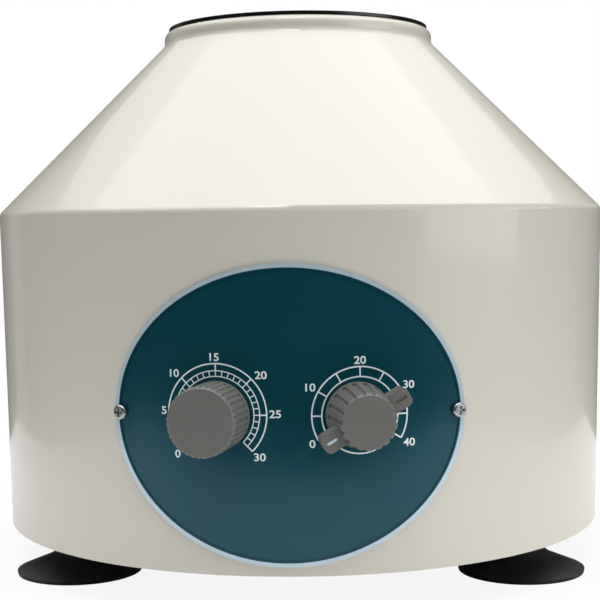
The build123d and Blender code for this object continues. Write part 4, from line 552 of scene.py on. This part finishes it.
real_marks = put(dial, "GeometryNodeRealizeInstances", [("Geometry", set_out.outputs[0])]).outputs[0]
print(dial.name, "has", len(dial.nodes), "nodes so far")

# %% [markdown]
# The tree ends by joining arcs and marks, wrapping them round the drum and giving them their ink. The
# material is set inside the tree, so the plain mesh that comes out of it already wears it.

# %% Geometry tree: wrap and ink the scale
whole = put(dial, "GeometryNodeJoinGeometry")
for piece in (outer_arc, chosen_arc, real_marks):
    dial.links.new(piece, whole.inputs[0])
on_drum = put(dial, "GeometryNodeGroup", [("Geometry", whole.outputs[0])], node_tree=wrap)
for label in ("Azimuth", "Height", "Lift"):
    dial.links.new(dial_in.outputs[label], on_drum.inputs[label])
inked = put(dial, "GeometryNodeSetMaterial", [
    ("Geometry", on_drum.outputs[0]), ("Material", dial_in.outputs["Ink"])])
dial.links.new(inked.outputs[0], dial_out.inputs[0])
print(dial.name, "is whole with", len(dial.nodes), "nodes")

# %% [markdown]
# A tree only makes a mesh while its modifier is live, and other programs can't read a live modifier.
# So the next helper gives a tree its numbers, lets it work once, keeps the outcome as a plain mesh and
# takes the modifier off again.

# %% Helper: run a tree and keep a plain mesh
def grow(name, tree, values, mesh=None):
    """A new object whose plain mesh is what the tree makes from these named inputs."""
    seed = bpy.data.objects.new(name, mesh or bpy.data.meshes.new(name))
    bpy.context.scene.collection.objects.link(seed)
    modifier = seed.modifiers.new("tree", "NODES")
    modifier.node_group = tree
    for item in tree.interface.items_tree:
        if item.in_out == "INPUT" and item.name in values:
            modifier[item.identifier] = values[item.name]
    bpy.context.view_layer.update()
    ready = seed.evaluated_get(bpy.context.evaluated_depsgraph_get())
    made = bpy.data.meshes.new_from_object(ready)
    seed.modifiers.clear()
    seed.data = made
    made.name = name
    print(name, "faces:", len(made.polygons))
    return seed


# %% [markdown]
# The timer's scale has a ladder of minutes, and an outer line that a mark reaches every five minutes.
# The speed dial has a full ring, an outer line, and marks at its numbers and halfway between them. Both
# are white ink, laid a few hundredths of a millimetre above the plate, because two faces in one place
# flicker. The print of a real plate seldom sits exactly round its holes, so each dial is a hair off the
# middle of its knob.

# %% Ink and the two scales
white_ink = finish(
    "White ink", display(236, 250, 254),
    {"Drift": 0.1, "Drift size": 0.003, "Grain size": 0.0003, "Smooth": 0.4, "Rough": 0.5},
)
ink_thickness = 0.04 * MM
ink_lift = plate_face + ink_thickness
fine_line, bold_line = 0.42 * MM, 0.55 * MM
ring_radius, ladder_radius = 14.2 * MM, 16.3 * MM
timer_radius, speed_radius = 18.9 * MM, 17.9 * MM
timer_start, timer_sweep = radians(225.0), radians(270.0)
speed_start, speed_sweep = radians(210.0), radians(240.0)
timer_print_rise = 0.3 * MM
speed_print_drop, speed_print_turn = 0.2 * MM, 0.006
timer_place = {"Azimuth": -knob_azimuth, "Height": control_height + timer_print_rise,
               "Lift": ink_lift, "Ink": white_ink}
speed_place = {"Azimuth": knob_azimuth + speed_print_turn, "Height": control_height - speed_print_drop,
               "Lift": ink_lift, "Ink": white_ink}
minute_ladder = grow("timer_minutes", dial, {
    "Outer radius": ladder_radius, "Inner radius": ring_radius, "Line": fine_line, "Start": timer_start,
    "Sweep": timer_sweep, "Steps": 30, "Inner arc": True, "Inner sweep": timer_sweep, **timer_place})
five_minutes = grow("timer_fives", dial, {
    "Outer radius": timer_radius, "Inner radius": ladder_radius, "Line": bold_line, "Start": timer_start,
    "Sweep": timer_sweep, "Steps": 6, "Inner arc": False, "Inner sweep": timer_sweep, **timer_place})
speed_scale = grow("speed_steps", dial, {
    "Outer radius": speed_radius, "Inner radius": ring_radius, "Line": bold_line, "Start": speed_start,
    "Sweep": speed_sweep, "Steps": 8, "Inner arc": True, "Inner sweep": 2 * pi, **speed_place})

# %% [markdown]
# The numbers are text, made a mesh before they are placed: flat first, each at its own angle round the
# dial, then wrapped round the drum by the same rule as the scales. A wide number stands further out at
# the sides than at the top, so each one's distance is the scale's radius, a gap, and its own half size
# in that direction.

# %% Helper: flat numbers round a dial
number_size, number_gap = 4.0 * MM, 0.9 * MM
widening, boldness = 1.15, 0.02


def number_mesh(text):
    """The flat mesh of one number, a little wider and bolder than the plain font."""
    font = bpy.data.curves.new("number", "FONT")
    font.body, font.size, font.offset = text, number_size, boldness * number_size
    font.align_x, font.align_y = "CENTER", "CENTER"
    holder = bpy.data.objects.new("number", font)
    bpy.context.scene.collection.objects.link(holder)
    bpy.context.view_layer.update()
    drawn = bpy.data.meshes.new_from_object(holder.evaluated_get(bpy.context.evaluated_depsgraph_get()))
    drawn.transform(Matrix.Diagonal((widening, 1.0, 1.0, 1.0)))
    bpy.data.objects.remove(holder)
    return drawn


def flat_numbers(name, marks, scale_radius):
    """One flat mesh of several numbers round a scale; each mark is its text and its angle in degrees."""
    corners, faces = [], []
    for text, at_angle in marks:
        drawn = number_mesh(text)
        lows, highs = ([pick(v.co[axis] for v in drawn.vertices) for axis in (0, 1)] for pick in (min, max))
        away = Vector((cos(radians(at_angle)), sin(radians(at_angle)), 0))
        half_size = sum(abs(away[axis]) * (highs[axis] - lows[axis]) / 2 for axis in (0, 1))
        centre = Vector(((lows[0] + highs[0]) / 2, (lows[1] + highs[1]) / 2, 0))
        shift = away * (scale_radius + number_gap + half_size) - centre
        first = len(corners)
        corners += [v.co + shift for v in drawn.vertices]
        faces += [[first + i for i in p.vertices] for p in drawn.polygons]
    mesh = bpy.data.meshes.new(name)
    mesh.from_pydata(corners, [], faces)
    return mesh


# %% [markdown]
# A second small tree wraps and inks the flat numbers. The speed dial's numbers stand at even steps, so
# a formula gives their angles. The timer's were set by eye on the real plate, so each of them has an
# angle of its own, close to its mark.

# %% Geometry tree: wrap and ink the numbers
number_tree, number_in, number_out = open_group(
    "Wrapped numbers", "GeometryNodeTree",
    [("Geometry", "Geometry", None), ("Azimuth", "Float", None), ("Height", "Float", None),
     ("Lift", "Float", None), ("Ink", "Material", None)],
    [("Geometry", "Geometry")],
)
wrapped = put(number_tree, "GeometryNodeGroup", node_tree=wrap)
for label in ("Geometry", "Azimuth", "Height", "Lift"):
    number_tree.links.new(number_in.outputs[label], wrapped.inputs[label])
inked = put(number_tree, "GeometryNodeSetMaterial", [
    ("Geometry", wrapped.outputs[0]), ("Material", number_in.outputs["Ink"])])
number_tree.links.new(inked.outputs[0], number_out.inputs[0])

timer_marks = [("0", 224), ("5", 177), ("10", 137), ("15", 91), ("20", 41), ("25", 1), ("30", -44)]
speed_number_steps = 4
speed_marks = [(str(10 * k), degrees(speed_start - k * speed_sweep / speed_number_steps))
               for k in range(speed_number_steps + 1)]
timer_numbers = grow("timer_numbers", number_tree, timer_place,
                     flat_numbers("timer_numbers", timer_marks, timer_radius))
speed_numbers = grow("speed_numbers", number_tree, speed_place,
                     flat_numbers("speed_numbers", speed_marks, speed_radius))

# %% [markdown]
# Printed marks belong to the plate, so they ride on the body that the plate is fixed to.

# %% Fix the print to the plate
for piece in (minute_ladder, five_minutes, speed_scale, timer_numbers, speed_numbers):
    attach(piece, "base")
    print(piece.name, "rides on base")

# %% [markdown]
# The speed knob has a white line on one of its two lugs. It turns with the knob, so it rides on the
# knob's body. It could be a stripe in the knob's material, but the lug has a real groove, so the line is
# paint in that groove: a slim bar with rounded ends, just above the groove's floor and narrower than
# the groove. The knob's own sizes, stacked up from the plate, give the height of that floor.

# %% Pointer line on the lug
knob_back_gap, lug_start, lug_height, groove_depth = 0.5 * MM, 9.0 * MM, 7.0 * MM, 0.5 * MM
knob_back = drum_radius(control_height) + plate_face + knob_back_gap
groove_floor = knob_back + lug_start + lug_height - groove_depth
paint_thickness = 0.15 * MM
paint_face = groove_floor + paint_thickness
paint_start, paint_end, paint_half_width = 12.8 * MM, 16.0 * MM, 0.55 * MM
pointer_angle = radians(210.0)


def knob_point(azimuth, out, right, up):
    """A point in front of the plate: out from the axis, to the viewer's right and up."""
    return Vector((out * sin(azimuth) + right * cos(azimuth), -out * cos(azimuth) + right * sin(azimuth),
                   control_height + up))


def rounded_bar(start, end, half_width, steps=8):
    """Outline of a flat bar along x with rounded ends, anticlockwise."""
    ring = []
    for centre, first_angle in ((end, -pi / 2), (start, pi / 2)):
        for k in range(steps + 1):
            a = first_angle + pi * k / steps
            ring.append((centre + half_width * cos(a), half_width * sin(a)))
    return ring


outline = rounded_bar(paint_start, paint_end, paint_half_width)
top = [knob_point(knob_azimuth, paint_face, x * cos(pointer_angle) - y * sin(pointer_angle),
                  x * sin(pointer_angle) + y * cos(pointer_angle)) for x, y in outline]
pointer_mesh = bpy.data.meshes.new("pointer_line")
pointer_mesh.from_pydata(top, [], [list(range(len(top)))])
pointer_mesh.materials.append(white_ink)
pointer_line = bpy.data.objects.new("pointer_line", pointer_mesh)
bpy.context.scene.collection.objects.link(pointer_line)
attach(pointer_line, "speed_control")
print("pointer line", round((paint_end - paint_start + 2 * paint_half_width) / MM, 1), "mm long")

# %% [markdown]
# The floor is a pale sheet of paper. Its colour alone would render grey, so for rays that come straight
# from the camera it glows a little, and the rest of its brightness comes from the lamps, which keeps
# the object's shadow on it. The sheet ends a short way in front of the object, out of the camera's
# sight: it brightens the foot of the drum and of the plate, and what they reflect beyond it is dark.

# %% Floor
floor_side, floor_front, floor_back = 0.42, 0.38, 0.28
glow_share = 0.9
floor_mesh = bpy.data.meshes.new("floor")
floor_mesh.from_pydata([(-floor_side, -floor_front, 0), (floor_side, -floor_front, 0),
                        (floor_side, floor_back, 0), (-floor_side, floor_back, 0)], [], [(0, 1, 2, 3)])
floor = bpy.data.objects.new("floor", floor_mesh)
bpy.context.scene.collection.objects.link(floor)
floor_paper = bpy.data.materials.new("Pale paper")
floor_paper.use_nodes = True
tree = floor_paper.node_tree
paper = tree.nodes["Principled BSDF"]
paper.inputs["Base Color"].default_value = (0.86, 0.86, 0.86, 1.0)
paper.inputs["Roughness"].default_value = 0.9
paper.inputs["Specular IOR Level"].default_value = 0.1
seen = put(tree, "ShaderNodeLightPath").outputs["Is Camera Ray"]
glow = put(tree, "ShaderNodeEmission", [("Color", (1, 1, 1, 1)), ("Strength", 1.0)])
blend = put(tree, "ShaderNodeMixShader", [
    (0, calc(tree, "MULTIPLY", seen, glow_share)), (1, paper.outputs[0]), (2, glow.outputs[0])])
tree.links.new(blend.outputs[0], tree.nodes["Material Output"].inputs["Surface"])
floor_mesh.materials.append(floor_paper)
print("floor", 2 * floor_side, "by", round(floor_front + floor_back, 2), "m")

# %% [markdown]
# The world stands for the room. It is white for the camera, weak as soft light and nearly dark in
# reflections, which gives the drum its dark edges. One light path node tells these kinds of ray apart.

# %% World
ambient, ambient_glossy = 0.2, 0.05
world = bpy.data.worlds.new("Studio")
bpy.context.scene.world = world
world.use_nodes = True
tree = world.node_tree
sky = tree.nodes["Background"]
path = put(tree, "ShaderNodeLightPath").outputs
sky.inputs["Color"].default_value = (1.0, 1.0, 1.0, 1.0)
less = calc(tree, "MULTIPLY", path["Is Glossy Ray"], ambient_glossy - ambient)
strength = calc(tree, "ADD", calc(tree, "ADD", path["Is Camera Ray"], less), ambient)
tree.links.new(calc(tree, "MINIMUM", strength, 1.0), sky.inputs["Strength"])
print("world: soft light", ambient, "and", ambient_glossy, "in reflections")

# %% [markdown]
# A very large soft lamp hangs over the object and lights the slope much more than the upright drum, as
# in the picture. A weaker one behind it makes the pair so large that the slope reflects nothing but
# their even faces, up to its edges. A small one in front draws the bright line along the shoulder, a
# wide one on the right leaves the drum's left darker, and a narrow strip behind the object only shows
# as a thin light along its left edge. Places are in metres and power is in watts.

# %% Lamps
def soft_lamp(name, place, aim, width, height, power):
    """A rectangular lamp that looks at a point and isn't seen itself."""
    light = bpy.data.lights.new(name, "AREA")
    light.shape, light.size, light.size_y, light.energy = "RECTANGLE", width, height, power
    lamp = bpy.data.objects.new(name, light)
    lamp.location = place
    lamp.rotation_euler = (Vector(aim) - Vector(place)).to_track_quat("-Z", "Y").to_euler()
    lamp.visible_camera = False
    bpy.context.scene.collection.objects.link(lamp)
    print(name, power, "W")


drum, shoulder = (0.0, 0.0, 0.12), (0.0, 0.0, 0.15)
soft_lamp("lamp_over", place=(0.0, -0.2, 1.6), aim=(0.0, -0.2, 0.0), width=3.2, height=1.8, power=38.5)
soft_lamp("lamp_behind", place=(0.0, 1.5, 1.6), aim=(0.0, 1.5, 0.0), width=3.2, height=1.6, power=16.0)
soft_lamp("lamp_shoulder", place=(-0.06, -0.5, 1.35), aim=shoulder, width=0.35, height=0.2, power=1.8)
soft_lamp("lamp_right", place=(2.0, -0.9, 0.5), aim=drum, width=1.6, height=1.0, power=11.0)
soft_lamp("strip_left", place=(-1.09, 0.79, 0.3), aim=drum, width=0.3, height=0.9, power=0.25)

# %% [markdown]
# The camera repeats the picture's point of view. It stands a little to the right of the middle, looks
# slightly down and is rolled by less than a degree. Three Euler angles would do, but their order is
# easy to get wrong. So its direction is built as three axes, first for a camera straight in front, and
# then all of it is turned about the upright axis.

# %% Camera
image_width = 600
focal_pixels = 1373.85
camera_distance = 632.7 * MM
camera_height = foot_clearance + 129.7 * MM
camera_aside = -1.27 * MM
camera_yaw, camera_pitch, camera_roll = 0.0011, -0.05488, -0.01275
camera_azimuth = radians(2.6)

sight = Vector((sin(camera_yaw), cos(camera_yaw), 0))
right = Vector((cos(camera_yaw), -sin(camera_yaw), 0))
ahead = cos(camera_pitch) * sight + sin(camera_pitch) * Vector((0, 0, 1))
up = -sin(camera_pitch) * sight + cos(camera_pitch) * Vector((0, 0, 1))
rolled_right = cos(camera_roll) * right + sin(camera_roll) * up
rolled_up = -sin(camera_roll) * right + cos(camera_roll) * up
turned = Matrix.Rotation(camera_azimuth, 3, "Z")
axes = Matrix([turned @ rolled_right, turned @ rolled_up, turned @ -ahead]).transposed()
stand = turned @ Vector((camera_aside, -camera_distance, camera_height))
lens = bpy.data.cameras.new("view")
lens.sensor_width = 36.0
lens.lens = focal_pixels / image_width * lens.sensor_width
lens.clip_start, lens.clip_end = 0.01, 50.0
camera = bpy.data.objects.new("view", lens)
camera.matrix_world = Matrix.Translation(stand) @ axes.to_4x4()
bpy.context.scene.collection.objects.link(camera)
bpy.context.scene.camera = camera
bpy.context.scene.view_settings.view_transform = "Standard"
print("lens", round(lens.lens, 1), "mm at", [round(c, 3) for c in stand])
